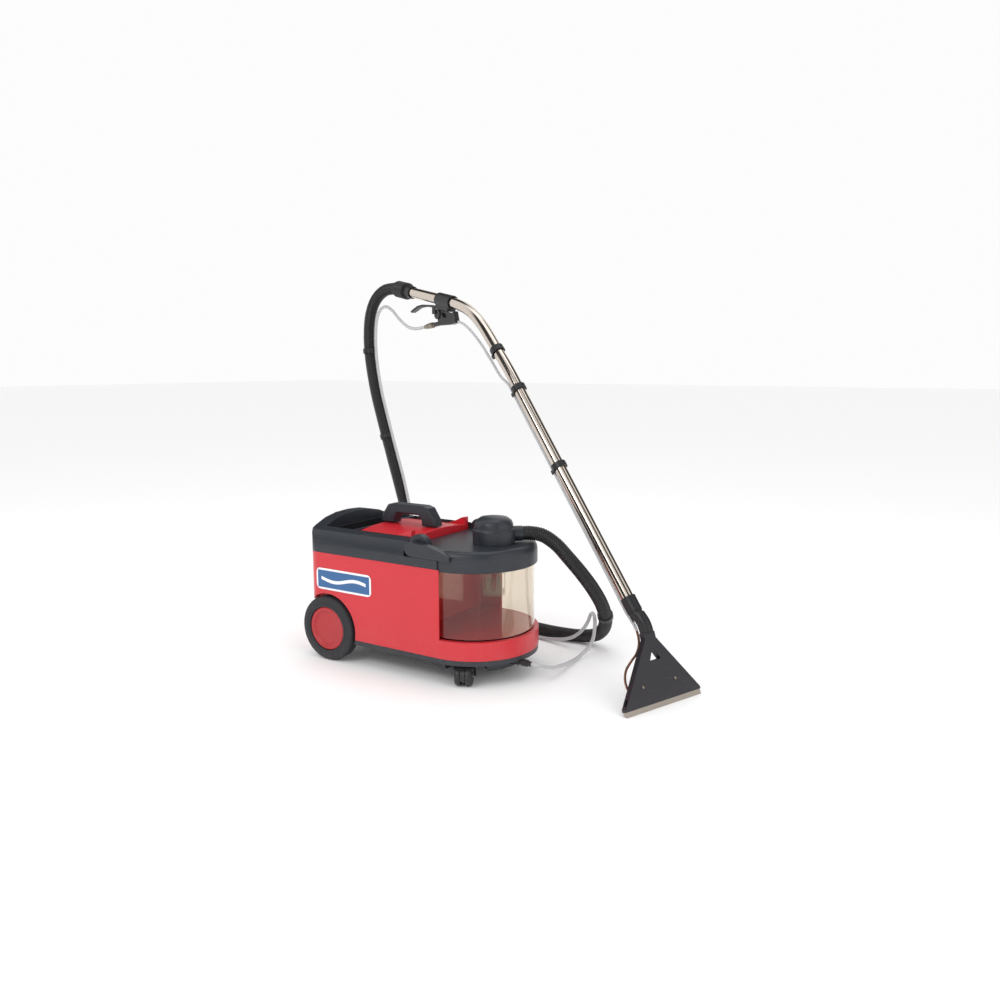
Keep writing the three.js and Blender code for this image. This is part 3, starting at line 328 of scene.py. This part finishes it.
def see_through(name, colour, base_alpha, edge_alpha, roughness):
    """A clear plastic that shows more of itself where it is seen along its surface."""
    material = finish_material(name, colour, roughness, grain=(30.0, 0.00003), waviness=0.0008, blotch=0.08,
                               dust=0.0, scuffs=0.15, IOR=1.49, Specular_IOR_Level=0.6)
    tree = material.node_tree
    facing = add(tree, "ShaderNodeLayerWeight", {"Blend": 0.35}).outputs["Facing"]
    alpha = maths(tree, "MULTIPLY_ADD", facing, edge_alpha - base_alpha, base_alpha)
    tree.links.new(alpha, tree.nodes["Principled BSDF"].inputs["Alpha"])
    return material


def let_light_in(material):
    """Lets light from outside reach what stands inside a clear tank."""
    tree = material.node_tree
    path = add(tree, "ShaderNodeLightPath")
    passing = maths(tree, "MAXIMUM", path.outputs["Is Shadow Ray"], path.outputs["Is Diffuse Ray"])
    alpha = maths(tree, "MULTIPLY_ADD", passing, -0.9, 1.0)
    tree.links.new(alpha, tree.nodes["Principled BSDF"].inputs["Alpha"])


CLEAR_HOSE = see_through("clear_hose", linear(196, 196, 199), 0.78, 1.0, 0.16)
CLEAR_CAGE = see_through("clear_cage", linear(190, 172, 146), 0.10, 0.35, 0.12)
SMOKED_TANK = finish_material(
    "smoked_tank", linear(240, 233, 222), 0.03, grain=(30.0, 0.0), waviness=0.0003, blotch=0.03, dust=0.0,
    scuffs=0.05, Transmission_Weight=1.0, IOR=1.06, Coat_Weight=0.8, Coat_Roughness=0.05, Coat_IOR=1.45,
)
let_light_in(SMOKED_TANK)


def make_badge_material():
    """A printed label: a white border round a blue field with a white wavy stripe."""
    material = finish_material("printed_label", linear(48, 98, 150), 0.3, blotch=0.03, dust=0.0, scuffs=0.1)
    tree = material.node_tree
    where = add(tree, "ShaderNodeTexCoord").outputs["Object"]
    parts = add(tree, "ShaderNodeSeparateXYZ", {"Vector": where})
    low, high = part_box("side_badge")
    across = maths(tree, "ABSOLUTE", maths(tree, "SUBTRACT", parts.outputs["X"], (low[0] + high[0]) / 2))
    along = maths(tree, "ABSOLUTE", maths(tree, "SUBTRACT", parts.outputs["Z"], (low[2] + high[2]) / 2))
    half_x, half_z = (high[0] - low[0]) / 2, (high[2] - low[2]) / 2
    rim = 0.0055
    border = maths(tree, "MAXIMUM", maths(tree, "GREATER_THAN", across, half_x - rim),
                   maths(tree, "GREATER_THAN", along, half_z - rim))
    swing = maths(tree, "SINE", maths(tree, "MULTIPLY", parts.outputs["X"], 42.0))
    wave = maths(tree, "MULTIPLY", swing, 0.006)
    rise = maths(tree, "SUBTRACT", maths(tree, "SUBTRACT", parts.outputs["Z"], (low[2] + high[2]) / 2), wave)
    stripe = maths(tree, "LESS_THAN", maths(tree, "ABSOLUTE", rise), 0.0045)
    inside = maths(tree, "LESS_THAN", across, half_x - 0.018)
    mark = maths(tree, "MAXIMUM", border, maths(tree, "MULTIPLY", stripe, inside))
    mix = add(tree, "ShaderNodeMix", data_type="RGBA")
    tree.links.new(mark, mix.inputs["Factor"])
    mix.inputs[6].default_value = linear(48, 98, 150)
    mix.inputs[7].default_value = linear(236, 240, 244)
    tree.links.new(mix.outputs[2], tree.nodes["Principled BSDF"].inputs["Base Color"])
    return material


BADGE = make_badge_material()


# ---- Pieces ----
def settle(piece, body, material_slot, *replaced):
    """The piece rides on its body and stands for the CAD nodes named; the material slot is not used."""
    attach(piece, body)
    if replaced:
        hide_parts(*replaced)
    return piece


def linked(name, mesh):
    made = bpy.data.objects.new(name, mesh)
    bpy.context.collection.objects.link(made)
    return made


def baked(piece, name):
    """The evaluated piece as a plain mesh object under a name; the one it came from is removed."""
    bpy.context.view_layer.update()
    evaluated = piece.evaluated_get(bpy.context.evaluated_depsgraph_get())
    mesh = bpy.data.meshes.new_from_object(evaluated)
    mesh.name = name
    source = piece.data
    bpy.data.objects.remove(piece)
    if source.users == 0 and isinstance(source, bpy.types.Mesh):
        bpy.data.meshes.remove(source)
    return linked(name, mesh)


SLOT_OF = {entry["node"]: entry["material_slot"] for entry in frame["record"]["subparts"]}


def softened(node, material, edge=0.0008, segments=2, corner=38, rides=True):
    """The CAD node with its flat faces joined up and its sharp edges rounded, as a moulded part has.

    With rides=False the piece rides on nothing.
    """
    mesh = NODES[node].data.copy()
    tool = bmesh.new()
    tool.from_mesh(mesh)
    bmesh.ops.remove_doubles(tool, verts=tool.verts, dist=2e-6)
    bmesh.ops.dissolve_limit(tool, angle_limit=math.radians(0.4), verts=tool.verts, edges=tool.edges)
    for face in tool.faces:
        face.smooth = True
    tool.to_mesh(mesh)
    tool.free()
    mesh.materials.clear()
    mesh.materials.append(material)
    piece = linked("finish_" + node, mesh)
    mesh.set_sharp_from_angle(angle=math.radians(corner))
    if edge:
        rounding = piece.modifiers.new("rounding", "BEVEL")
        rounding.limit_method = "ANGLE"
        rounding.angle_limit = math.radians(corner)
        rounding.width = edge
        rounding.segments = segments
        rounding.use_clamp_overlap = True
    even = piece.modifiers.new("even", "WEIGHTED_NORMAL")
    even.keep_sharp = True
    piece = baked(piece, "finish_" + node)
    if rides:
        return settle(piece, BODY_OF[node], SLOT_OF[node], node)
    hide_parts(node)
    return piece


# ---- Ribbed and plain hoses ----
def make_hose_group():
    """A hose along a curve: rings a step apart whose size swings with the ribs."""
    group, start, end = new_group(
        "hose_along_route", "GeometryNodeTree",
        {"Geometry": ("NodeSocketGeometry", None), "Radius": ("NodeSocketFloat", HOSE_R),
         "Rib Depth": ("NodeSocketFloat", RIB_DEPTH), "Rib Pitch": ("NodeSocketFloat", RIB_PITCH),
         "Step": ("NodeSocketFloat", RIB_PITCH / 6), "Start": ("NodeSocketFloat", 0.0),
         "Sides": ("NodeSocketInt", 28), "Material": ("NodeSocketMaterial", None)},
        {"Geometry": "NodeSocketGeometry"},
    )
    steps = add(group, "GeometryNodeResampleCurve",
                {"Curve": start.outputs["Geometry"], "Length": start.outputs["Step"]}, mode="LENGTH")
    length = add(group, "GeometryNodeSplineParameter").outputs["Length"]
    along = maths(group, "ADD", length, start.outputs["Start"])
    turn = maths(group, "DIVIDE", maths(group, "MULTIPLY", along, 2 * math.pi), start.outputs["Rib Pitch"])
    valley = maths(group, "MULTIPLY_ADD", maths(group, "COSINE", turn), -0.5, 0.5)
    valley = maths(group, "POWER", valley, 1.6)
    dip = maths(group, "MULTIPLY", valley, start.outputs["Rib Depth"])
    size = maths(group, "SUBTRACT", start.outputs["Radius"], dip)
    ring = add(group, "GeometryNodeCurvePrimitiveCircle",
               {"Resolution": start.outputs["Sides"], "Radius": 1.0}, mode="RADIUS")
    skin = add(group, "GeometryNodeCurveToMesh",
               {"Curve": steps.outputs["Curve"], "Profile Curve": ring.outputs["Curve"], "Scale": size,
                "Fill Caps": True})
    shaded = add(group, "GeometryNodeSetShadeSmooth", {"Geometry": skin.outputs["Mesh"]})
    real = add(group, "GeometryNodeRealizeInstances", {"Geometry": shaded.outputs["Geometry"]})
    painted = add(group, "GeometryNodeSetMaterial",
                  {"Geometry": real.outputs["Geometry"], "Material": start.outputs["Material"]})
    group.links.new(painted.outputs["Geometry"], end.inputs["Geometry"])
    return group


HOSE_GROUP = make_hose_group()


def set_input(modifier, group, values):
    """Sets a modifier's inputs by the names of the group's sockets."""
    for item in group.interface.items_tree:
        if item.item_type == "SOCKET" and item.in_out == "INPUT" and item.name in values:
            modifier[item.identifier] = values[item.name]


def line_object(name, line):
    curve = bpy.data.curves.new(name, "CURVE")
    curve.dimensions = "3D"
    spline = curve.splines.new("POLY")
    spline.points.add(len(line) - 1)
    spline.points.foreach_set("co", [c for p in line for c in (*p, 1.0)])
    made = bpy.data.objects.new(name, curve)
    bpy.context.collection.objects.link(made)
    return made


def hose(name, line, values):
    """A hose piece along a line, as a plain mesh."""
    piece = line_object(name + "_line", line)
    modifier = piece.modifiers.new("hose", "NODES")
    modifier.node_group = HOSE_GROUP
    set_input(modifier, HOSE_GROUP, values)
    return baked(piece, name)


def vacuum_hose(name, first, last, start):
    line = smooth_line(VACUUM_ROUTE, first, last)
    piece = hose(name, line, {"Start": start, "Material": HOSE_BLACK})
    return piece, line


PORT_SPLIT, TANK_SPLIT = 6, 13

port_hose, port_line = vacuum_hose("suction_hose_port", 0, PORT_SPLIT, 0.0)
loop_hose, loop_line = vacuum_hose("suction_hose_loop", PORT_SPLIT, TANK_SPLIT, length_of(port_line))
floor_hose, floor_line = vacuum_hose(
    "suction_hose_run", TANK_SPLIT, len(VACUUM_ROUTE) - 1, length_of(port_line) + length_of(loop_line)
)
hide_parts("vacuum_hose_port")
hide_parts("vacuum_hose_drop")
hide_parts("vacuum_hose_run")
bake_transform(port_hose)
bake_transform(loop_hose)
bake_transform(floor_hose)

line_path = smooth_line(SOLUTION_ROUTE)
clear_line = hose("solution_line", line_path,
                  {"Radius": LINE_R, "Rib Depth": 0.0, "Step": 0.0035, "Sides": 16, "Material": CLEAR_HOSE})
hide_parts("solution_hose")
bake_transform(clear_line)

loop_clip = softened("hose_clip_loop", BLACK_PART, 0.0006)
line_plug = softened("coupling_plug", BLACK_PART, 0.0006)
run_clips = [softened(node, BLACK_PART, 0.0006, rides=False) for node in ("hose_clip_mid", "hose_clip_top")]
for clip in run_clips:
    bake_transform(clip)


# ---- Turned parts ----
def turned(name, profile, centre, axis, material, sides=96, corner=40):
    """A closed profile of (radius, place along the axis) turned about an axis through a centre."""
    tool = bmesh.new()
    frame_of = Vector((0, 0, 1)).rotation_difference(Vector(axis)).to_matrix().to_4x4()
    place = Matrix.Translation(Vector(centre)) @ frame_of
    rings = []
    for radius, along in profile:
        rings.append([
            tool.verts.new(place @ Vector((radius * math.cos(a), radius * math.sin(a), along)))
            for a in (2 * math.pi * k / sides for k in range(sides))
        ])
    for ring, after in zip(rings, rings[1:] + rings[:1]):
        for k in range(sides):
            tool.faces.new((ring[k], ring[(k + 1) % sides], after[(k + 1) % sides], after[k]))
    bmesh.ops.remove_doubles(tool, verts=tool.verts, dist=1e-6)
    bmesh.ops.dissolve_degenerate(tool, edges=tool.edges, dist=1e-7)
    bmesh.ops.recalc_face_normals(tool, faces=tool.faces)
    for face in tool.faces:
        face.smooth = True
    mesh = bpy.data.meshes.new(name)
    tool.to_mesh(mesh)
    tool.free()
    mesh.materials.append(material)
    mesh.set_sharp_from_angle(angle=math.radians(corner))
    return linked(name, mesh)


def arc_points(centre, radius, first, last, count):
    """Points of an arc, angles in degrees."""
    return [
        (centre[0] + radius * math.cos(a), centre[1] + radius * math.sin(a))
        for a in (math.radians(first + (last - first) * k / (count - 1)) for k in range(count))
    ]


def wheel_pieces(side, sign):
    """A rear tyre with grooves and a stepped side wall, and its dished hub."""
    mm = 0.001
    outer, inner = WHEEL_OUT / mm, WHEEL_IN / mm
    groove = []
    for at in (outer - 15, outer - 21, outer - 27):
        groove += [(89, at + 1.2), (87.4, at + 0.8), (87.4, at - 0.8), (89, at - 1.2)]
    tyre = [
        (60.4, outer - 4), (61.5, outer - 1.5), (64, outer - 0.4), (67, outer - 0.3), (68, outer - 1.3),
        (70, outer - 1.3), (71, outer - 0.3), (75, outer - 0.6), (80, outer - 2.2),
        *arc_points((81.5, outer - 9.5), 7.4, 78, 4, 7), *groove,
        *arc_points((82, inner + 9), 7, -4, -80, 7), (78, inner + 1.6), (62, inner + 2), (60.4, inner + 3),
    ]
    hub = [
        (0.0, outer - 9.6), (20, outer - 9.5), (36, outer - 9.2), (42.5, outer - 9),
        (46, outer - 8), (49.3, outer - 4.4), (51.5, outer - 3.3), (56.6, outer - 3.2),
        (58.6, outer - 4), (59.6, outer - 5.6),
        (59.6, inner + 5), (53.7, inner + 5), (51.7, outer - 14), (24, outer - 16),
        (18, inner + 2), (6.6, inner + 2),
        (6.6, outer - 15), (0.0, outer - 15),
    ]
    made = []
    for name, profile, material, slot_name, node in (
        ("tyre", tyre, TYRE_RUBBER, "tyre", "rear_tyre_"), ("hub", hub, RED_HUB, "red_shell", "rear_hub_"),
    ):
        piece = turned(f"rear_{name}_{side}_finished", [(r * mm, a * mm) for r, a in profile],
                       (WHEEL_X, MIDDLE_Y, WHEEL_Z), (0, sign, 0), material)
        made.append(settle(piece, "rear_wheel_" + side, slot_name, node + side))
    return made


wheel_pieces("near", -1)
wheel_pieces("far", 1)
AXLE_R, AXLE_REACH = 0.006, 0.164
axle_ends = [(0.0, AXLE_REACH), (AXLE_R - 0.001, AXLE_REACH), (AXLE_R, AXLE_REACH - 0.001),
             (AXLE_R, 0.001 - AXLE_REACH), (AXLE_R - 0.001, -AXLE_REACH), (0.0, -AXLE_REACH)]
settle(turned("axle_finished", axle_ends, (WHEEL_X, MIDDLE_Y, WHEEL_Z), (0, 1, 0), STEEL, sides=40),
       ROOT, "steel", "rear_axle")


def caster_hood(side, centre, axis):
    """The cover over the top and the swivel side of a pair of caster wheels."""
    across = Vector(axis).normalized()
    back = across.cross(Vector((0, 0, 1)))
    arc = arc_points((0, 0), HOOD_OUT, 52, 196, 25) + arc_points((0, 0), HOOD_IN, 196, 52, 25)
    tool = bmesh.new()
    ends = [[tool.verts.new(Vector(centre) + back * a + Vector((0, 0, 1)) * b + across * c) for a, b in arc]
            for c in (-HOOD_HALF, HOOD_HALF)]
    for k in range(len(arc)):
        after = (k + 1) % len(arc)
        tool.faces.new((ends[0][k], ends[0][after], ends[1][after], ends[1][k]))
    half = len(arc) // 2
    for ring in ends:
        for k in range(half - 1):
            tool.faces.new((ring[k], ring[k + 1], ring[-k - 2], ring[-k - 1]))
    bmesh.ops.recalc_face_normals(tool, faces=tool.faces)
    for face in tool.faces:
        face.smooth = True
    mesh = bpy.data.meshes.new("caster_hood_" + side)
    tool.to_mesh(mesh)
    tool.free()
    mesh.materials.append(BLACK_PART)
    mesh.set_sharp_from_angle(angle=math.radians(40))
    settle(linked("caster_hood_" + side, mesh), "caster_" + side, "black_plastic")


CASTER_WHEELS = {
    "near": ((0.06478, -0.27151, 0.025), (0.9336, 0.3584, 0)),
    "far": ((0.03003, -0.01783, 0.025), (-0.2079, -0.9781, 0)),
}
CASTER_PROFILE = [
    (0.0039, 0.0066), (0.0225, 0.0066), (0.0243, 0.0074), (0.025, 0.0092), (0.025, 0.0165), (0.0243, 0.0186),
    (0.0222, 0.0206), (0.0196, 0.0214), (0.0186, 0.0206), (0.0132, 0.0206), (0.0122, 0.0218),
    (0.0108, 0.0236), (0.0064, 0.024), (0.0039, 0.024),
]
HOOD_IN, HOOD_OUT, HOOD_HALF = 0.0265, 0.0282, 0.0245
for side, (centre, axis) in CASTER_WHEELS.items():
    for hand in (1, -1):
        name = f"caster_wheel_{side}_{'outer' if hand > 0 else 'inner'}"
        piece = turned(name, CASTER_PROFILE, centre, [hand * c for c in axis], BLACK_PART, sides=64)
        settle(piece, "caster_wheel_" + side, "tyre", "caster_wheels_" + side)
    caster_hood(side, centre, axis)
    pin = [(0.0, 0.0245), (0.0026, 0.0245), (0.0038, 0.0238),
           (0.0038, -0.0238), (0.0026, -0.0245), (0.0, -0.0245)]
    settle(turned(f"caster_axle_{side}", pin, centre, axis, STEEL, sides=32), "caster_wheel_" + side, "steel")

# ---- The wand's tube, line and pipe, and the ribs of its cuff ----
TUBE_R = 0.016
PIPE_R = 0.003
SPRAY_LINE_R = 0.004


def along_wand(name, route, radius, step, sides, material, material_slot, *nodes, depth=0.0, pitch=RIB_PITCH):
    values = {"Radius": radius, "Rib Depth": depth, "Rib Pitch": pitch, "Step": step, "Sides": sides,
              "Material": material}
    piece = hose(name, smooth_line(route), values)
    return settle(piece, "wand", material_slot, *nodes)


along_wand("wand_tube_bent", TUBE_ROUTE, TUBE_R, 0.006, 48, STEEL, "steel", "wand_tube")
along_wand("spray_line_on_wand", SPRAY_LINE_ROUTE, SPRAY_LINE_R, 0.004, 16, CLEAR_HOSE, "hose_clear",
           "spray_line")
along_wand("spray_pipe_bent", SPRAY_PIPE_ROUTE, PIPE_R, 0.002, 20, COPPER, "copper", "spray_pipe")
CUFF_FROM, CUFF_TO = Vector((-0.52617, 0.27174, 1.03755)), Vector((-0.57684, 0.29043, 1.04793))
along_wand("cuff_ribs", [CUFF_FROM, CUFF_FROM.lerp(CUFF_TO, 0.5), CUFF_TO], 0.0266, 0.001, 48, BLACK_PART,
           "black_plastic", depth=0.0022, pitch=0.0092)


# ---- Screws ----
def make_screw_group():
    """A cross-head screw on each point, turned to face along the point's own direction."""
    group, start, end = new_group(
        "screws_on_points", "GeometryNodeTree",
        {"Geometry": ("NodeSocketGeometry", None), "Radius": ("NodeSocketFloat", 0.004),
         "Height": ("NodeSocketFloat", 0.0024), "Material": ("NodeSocketMaterial", None)},
        {"Geometry": "NodeSocketGeometry"},
    )
    radius, height = start.outputs["Radius"], start.outputs["Height"]
    head = add(group, "GeometryNodeMeshCylinder", {"Vertices": 28, "Radius": radius, "Depth": height})
    raised_head = add(group, "GeometryNodeMeshUVSphere", {"Segments": 28, "Rings": 12, "Radius": radius})
    flatter = add(group, "ShaderNodeCombineXYZ", {"X": 1.0, "Y": 1.0, "Z": 0.34})
    lift = add(group, "ShaderNodeCombineXYZ", {"Z": maths(group, "MULTIPLY", height, 0.5)})
    crown = add(group, "GeometryNodeTransform", {"Geometry": raised_head.outputs["Mesh"],
                                                 "Translation": lift.outputs[0], "Scale": flatter.outputs[0]})
    whole = add(group, "GeometryNodeMeshBoolean", {"Mesh 2": head.outputs["Mesh"]}, operation="UNION")
    group.links.new(crown.outputs["Geometry"], whole.inputs["Mesh 2"])
    long_side = maths(group, "MULTIPLY", radius, 1.25)
    short_side = maths(group, "MULTIPLY", radius, 0.24)
    slots = []
    for first, second in ((long_side, short_side), (short_side, long_side)):
        size = add(group, "ShaderNodeCombineXYZ", {"X": first, "Y": second, "Z": radius})
        box = add(group, "GeometryNodeMeshCube", {"Size": size.outputs[0]})
        top = maths(group, "ADD", height, maths(group, "MULTIPLY", radius, 0.35))
        up = add(group, "ShaderNodeCombineXYZ", {"Z": top})
        slots.append(add(group, "GeometryNodeTransform",
                         {"Geometry": box.outputs["Mesh"], "Translation": up.outputs[0]}))
    cut = add(group, "GeometryNodeMeshBoolean", {"Mesh 1": whole.outputs["Mesh"]}, operation="DIFFERENCE")
    for slot_box in slots:
        group.links.new(slot_box.outputs["Geometry"], cut.inputs["Mesh 2"])
    facing = add(group, "GeometryNodeInputNamedAttribute", {"Name": "facing"}, data_type="FLOAT_VECTOR")
    turn = add(group, "FunctionNodeAlignRotationToVector", {"Vector": facing.outputs["Attribute"]}, axis="Z")
    set_on = add(group, "GeometryNodeInstanceOnPoints",
                 {"Points": start.outputs["Geometry"], "Instance": cut.outputs["Mesh"],
                  "Rotation": turn.outputs["Rotation"]})
    real = add(group, "GeometryNodeRealizeInstances", {"Geometry": set_on.outputs["Instances"]})
    painted = add(group, "GeometryNodeSetMaterial",
                  {"Geometry": real.outputs["Geometry"], "Material": start.outputs["Material"]})
    group.links.new(painted.outputs["Geometry"], end.inputs["Geometry"])
    return group


SCREW_GROUP = make_screw_group()


def screws(name, body, material_slot, material, places, radius=0.004):
    """Screw heads on a body; each place is a point and the way the head faces."""
    mesh = bpy.data.meshes.new(name)
    mesh.from_pydata([p for p, _ in places], [], [])
    facing = mesh.attributes.new("facing", "FLOAT_VECTOR", "POINT")
    facing.data.foreach_set("vector", [c for _, way in places for c in way])
    piece = linked(name + "_places", mesh)
    modifier = piece.modifiers.new("screws", "NODES")
    modifier.node_group = SCREW_GROUP
    set_input(modifier, SCREW_GROUP, {"Radius": radius, "Height": radius * 0.6, "Material": material})
    return settle(baked(piece, name), body, material_slot)


HEAD_FACE = (0.879, -0.3243, 0.3498)
screws("head_screws", "wand", "connector", PLATED,
       [((0.51025, -0.17547, 0.05538), HEAD_FACE), ((0.54898, -0.07172, 0.05421), HEAD_FACE)], 0.0042)

# ---- The red deck that the tank stands on ----
DECK_R, DECK_REAR = 0.1645, -0.0885
DECK_TOP, DECK_THICK = 0.1174, 0.002
TANK_AXIS = (0.00746, MIDDLE_Y)


def tank_deck():
    """A flat deck with a straight back edge, inside the front band."""
    half = math.acos((DECK_REAR - TANK_AXIS[0]) / DECK_R)
    rim = [(TANK_AXIS[0] + DECK_R * math.cos(a), TANK_AXIS[1] + DECK_R * math.sin(a))
           for a in (-half + 2 * half * k / 95 for k in range(96))]
    tool = bmesh.new()
    top = [tool.verts.new((x, y, DECK_TOP)) for x, y in rim]
    under = [tool.verts.new((x, y, DECK_TOP - DECK_THICK)) for x, y in rim]
    tool.faces.new(top)
    tool.faces.new(under[::-1])
    for k in range(len(rim)):
        after = (k + 1) % len(rim)
        tool.faces.new((under[k], under[after], top[after], top[k]))
    mesh = bpy.data.meshes.new("tank_deck")
    tool.to_mesh(mesh)
    tool.free()
    mesh.materials.append(RED_SHELL)
    return settle(linked("tank_deck", mesh), ROOT, "red_shell")


tank_deck()

# ---- The moulded, turned and bent parts ----
FINISHES = {
    "base_pan": (DARK_TRIM, 0.0016), "body_shell": (RED_SHELL, 0.0022), "top_trim": (DARK_TRIM, 0.0022),
    "motor_cover": (RED_SHELL, 0.002), "carry_handle": (DARK_TRIM, 0.0025),
    "solution_tank": (BLACK_PART, 0.0012), "vacuum_motor": (CAST_METAL, 0.001),
    "motor_cradle": (BLACK_PART, 0.001),
    "suction_duct": (BLACK_PART, 0.001),
    "solution_pump": (CAST_METAL, 0.001), "front_coupling": (BLACK_PART, 0.0006),
    "switch_panel": (BLACK_PART, 0.0008), "vacuum_switch": (RED_SHELL, 0.0005),
    "pump_switch": (RED_SHELL, 0.0005),
    "mains_inlet": (BLACK_PART, 0.0006), "side_badge": (BADGE, 0.0003),
    "pivot_housing_near": (DARK_TRIM, 0.0018), "pivot_housing_far": (DARK_TRIM, 0.0018),
    "caster_stem_near": (STEEL, 0.0005), "caster_stem_far": (STEEL, 0.0005),
    "caster_fork_near": (BLACK_PART, 0.0012), "caster_fork_far": (BLACK_PART, 0.0012),
    "recovery_tank": (SMOKED_TANK, 0.0008), "tank_seal": (SEAL_RUBBER, 0.0), "tank_lid": (DARK_TRIM, 0.003),
    "lid_dome": (DARK_TRIM, 0.002), "float_cage": (CLEAR_CAGE, 0.0004), "float_ball": (CLEAR_CAGE, 0.0),
    "wand_cuff": (BLACK_PART, 0.0008), "tube_collar": (BLACK_PART, 0.001),
    "line_clip_upper": (BLACK_PART, 0.0008), "line_clip_lower": (BLACK_PART, 0.0008),
    "valve_bracket": (BLACK_PART, 0.0012), "trigger_valve": (BLACK_PART, 0.0012),
    "trigger_lever": (BLACK_PART, 0.001), "line_connector": (PLATED, 0.0005),
    "head_socket": (BLACK_PART, 0.0012),
    "head_plate": (HEAD_BLACK, 0.001), "floor_lip": (LIP_STEEL, 0.0008),
    "spray_jet": (BRASS, 0.0004),
}
for node_name, (finish_of, edge_size) in FINISHES.items():
    softened(node_name, finish_of, edge_size)

# ---- Floor and light ----
floor_mesh = bpy.data.meshes.new("floor")
floor_mesh.from_pydata([(-30, -30, 0), (30, -30, 0), (30, 30, 0), (-30, 30, 0)], [], [(0, 1, 2, 3)])
floor = linked("floor", floor_mesh)
floor_finish = bpy.data.materials.new("pale_floor")
floor_finish.use_nodes = True
floor_surface = floor_finish.node_tree.nodes["Principled BSDF"]
floor_surface.inputs["Base Color"].default_value = (0.96, 0.96, 0.96, 1)
floor_surface.inputs["Roughness"].default_value = 0.9
floor_surface.inputs["Specular IOR Level"].default_value = 0.1
floor_mesh.materials.append(floor_finish)

SKY_LEVEL = 0.98
world = bpy.data.worlds.new("studio")
bpy.context.scene.world = world
bpy.context.scene.view_settings.view_transform = "Standard"
world.use_nodes = True
sky = world.node_tree
background = sky.nodes["Background"]
way = add(sky, "ShaderNodeSeparateXYZ", {"Vector": add(sky, "ShaderNodeTexCoord").outputs["Generated"]})
around = maths(sky, "ARCTAN2", way.outputs["Y"], way.outputs["X"])
bands = maths(sky, "SINE", maths(sky, "MULTIPLY_ADD", around, 4.0, 0.6))
bands = add(sky, "ShaderNodeMapRange",
            {"Value": bands, "From Min": -0.5, "From Max": 0.6, "To Min": 0.03, "To Max": 1.0},
            interpolation_type="SMOOTHSTEP").outputs["Result"]
glossy = add(sky, "ShaderNodeLightPath").outputs["Is Glossy Ray"]
level = maths(sky, "MULTIPLY_ADD", glossy, maths(sky, "SUBTRACT", bands, 1.0), 1.0)
background.inputs["Color"].default_value = (1.0, 1.0, 1.0, 1)
sky.links.new(maths(sky, "MULTIPLY", level, SKY_LEVEL), background.inputs["Strength"])


def area_light(name, place, target, size, power):
    light = bpy.data.lights.new(name, "AREA")
    light.shape = "RECTANGLE"
    light.size, light.size_y = size
    light.energy = power
    made = bpy.data.objects.new(name, light)
    made.location = place
    made.rotation_euler = (Vector(target) - Vector(place)).to_track_quat("-Z", "Y").to_euler()
    bpy.context.collection.objects.link(made)
    return made


area_light("key", (-0.6, -3.0, 2.6), (0, -0.1, 0.3), (1.6, 1.0), 26)
area_light("fill", (3.2, -1.2, 1.6), (0, 0, 0.4), (1.0, 1.8), 10)
area_light("top", (-0.1, 0.2, 3.4), (0, 0, 0.3), (2.2, 1.6), 14)
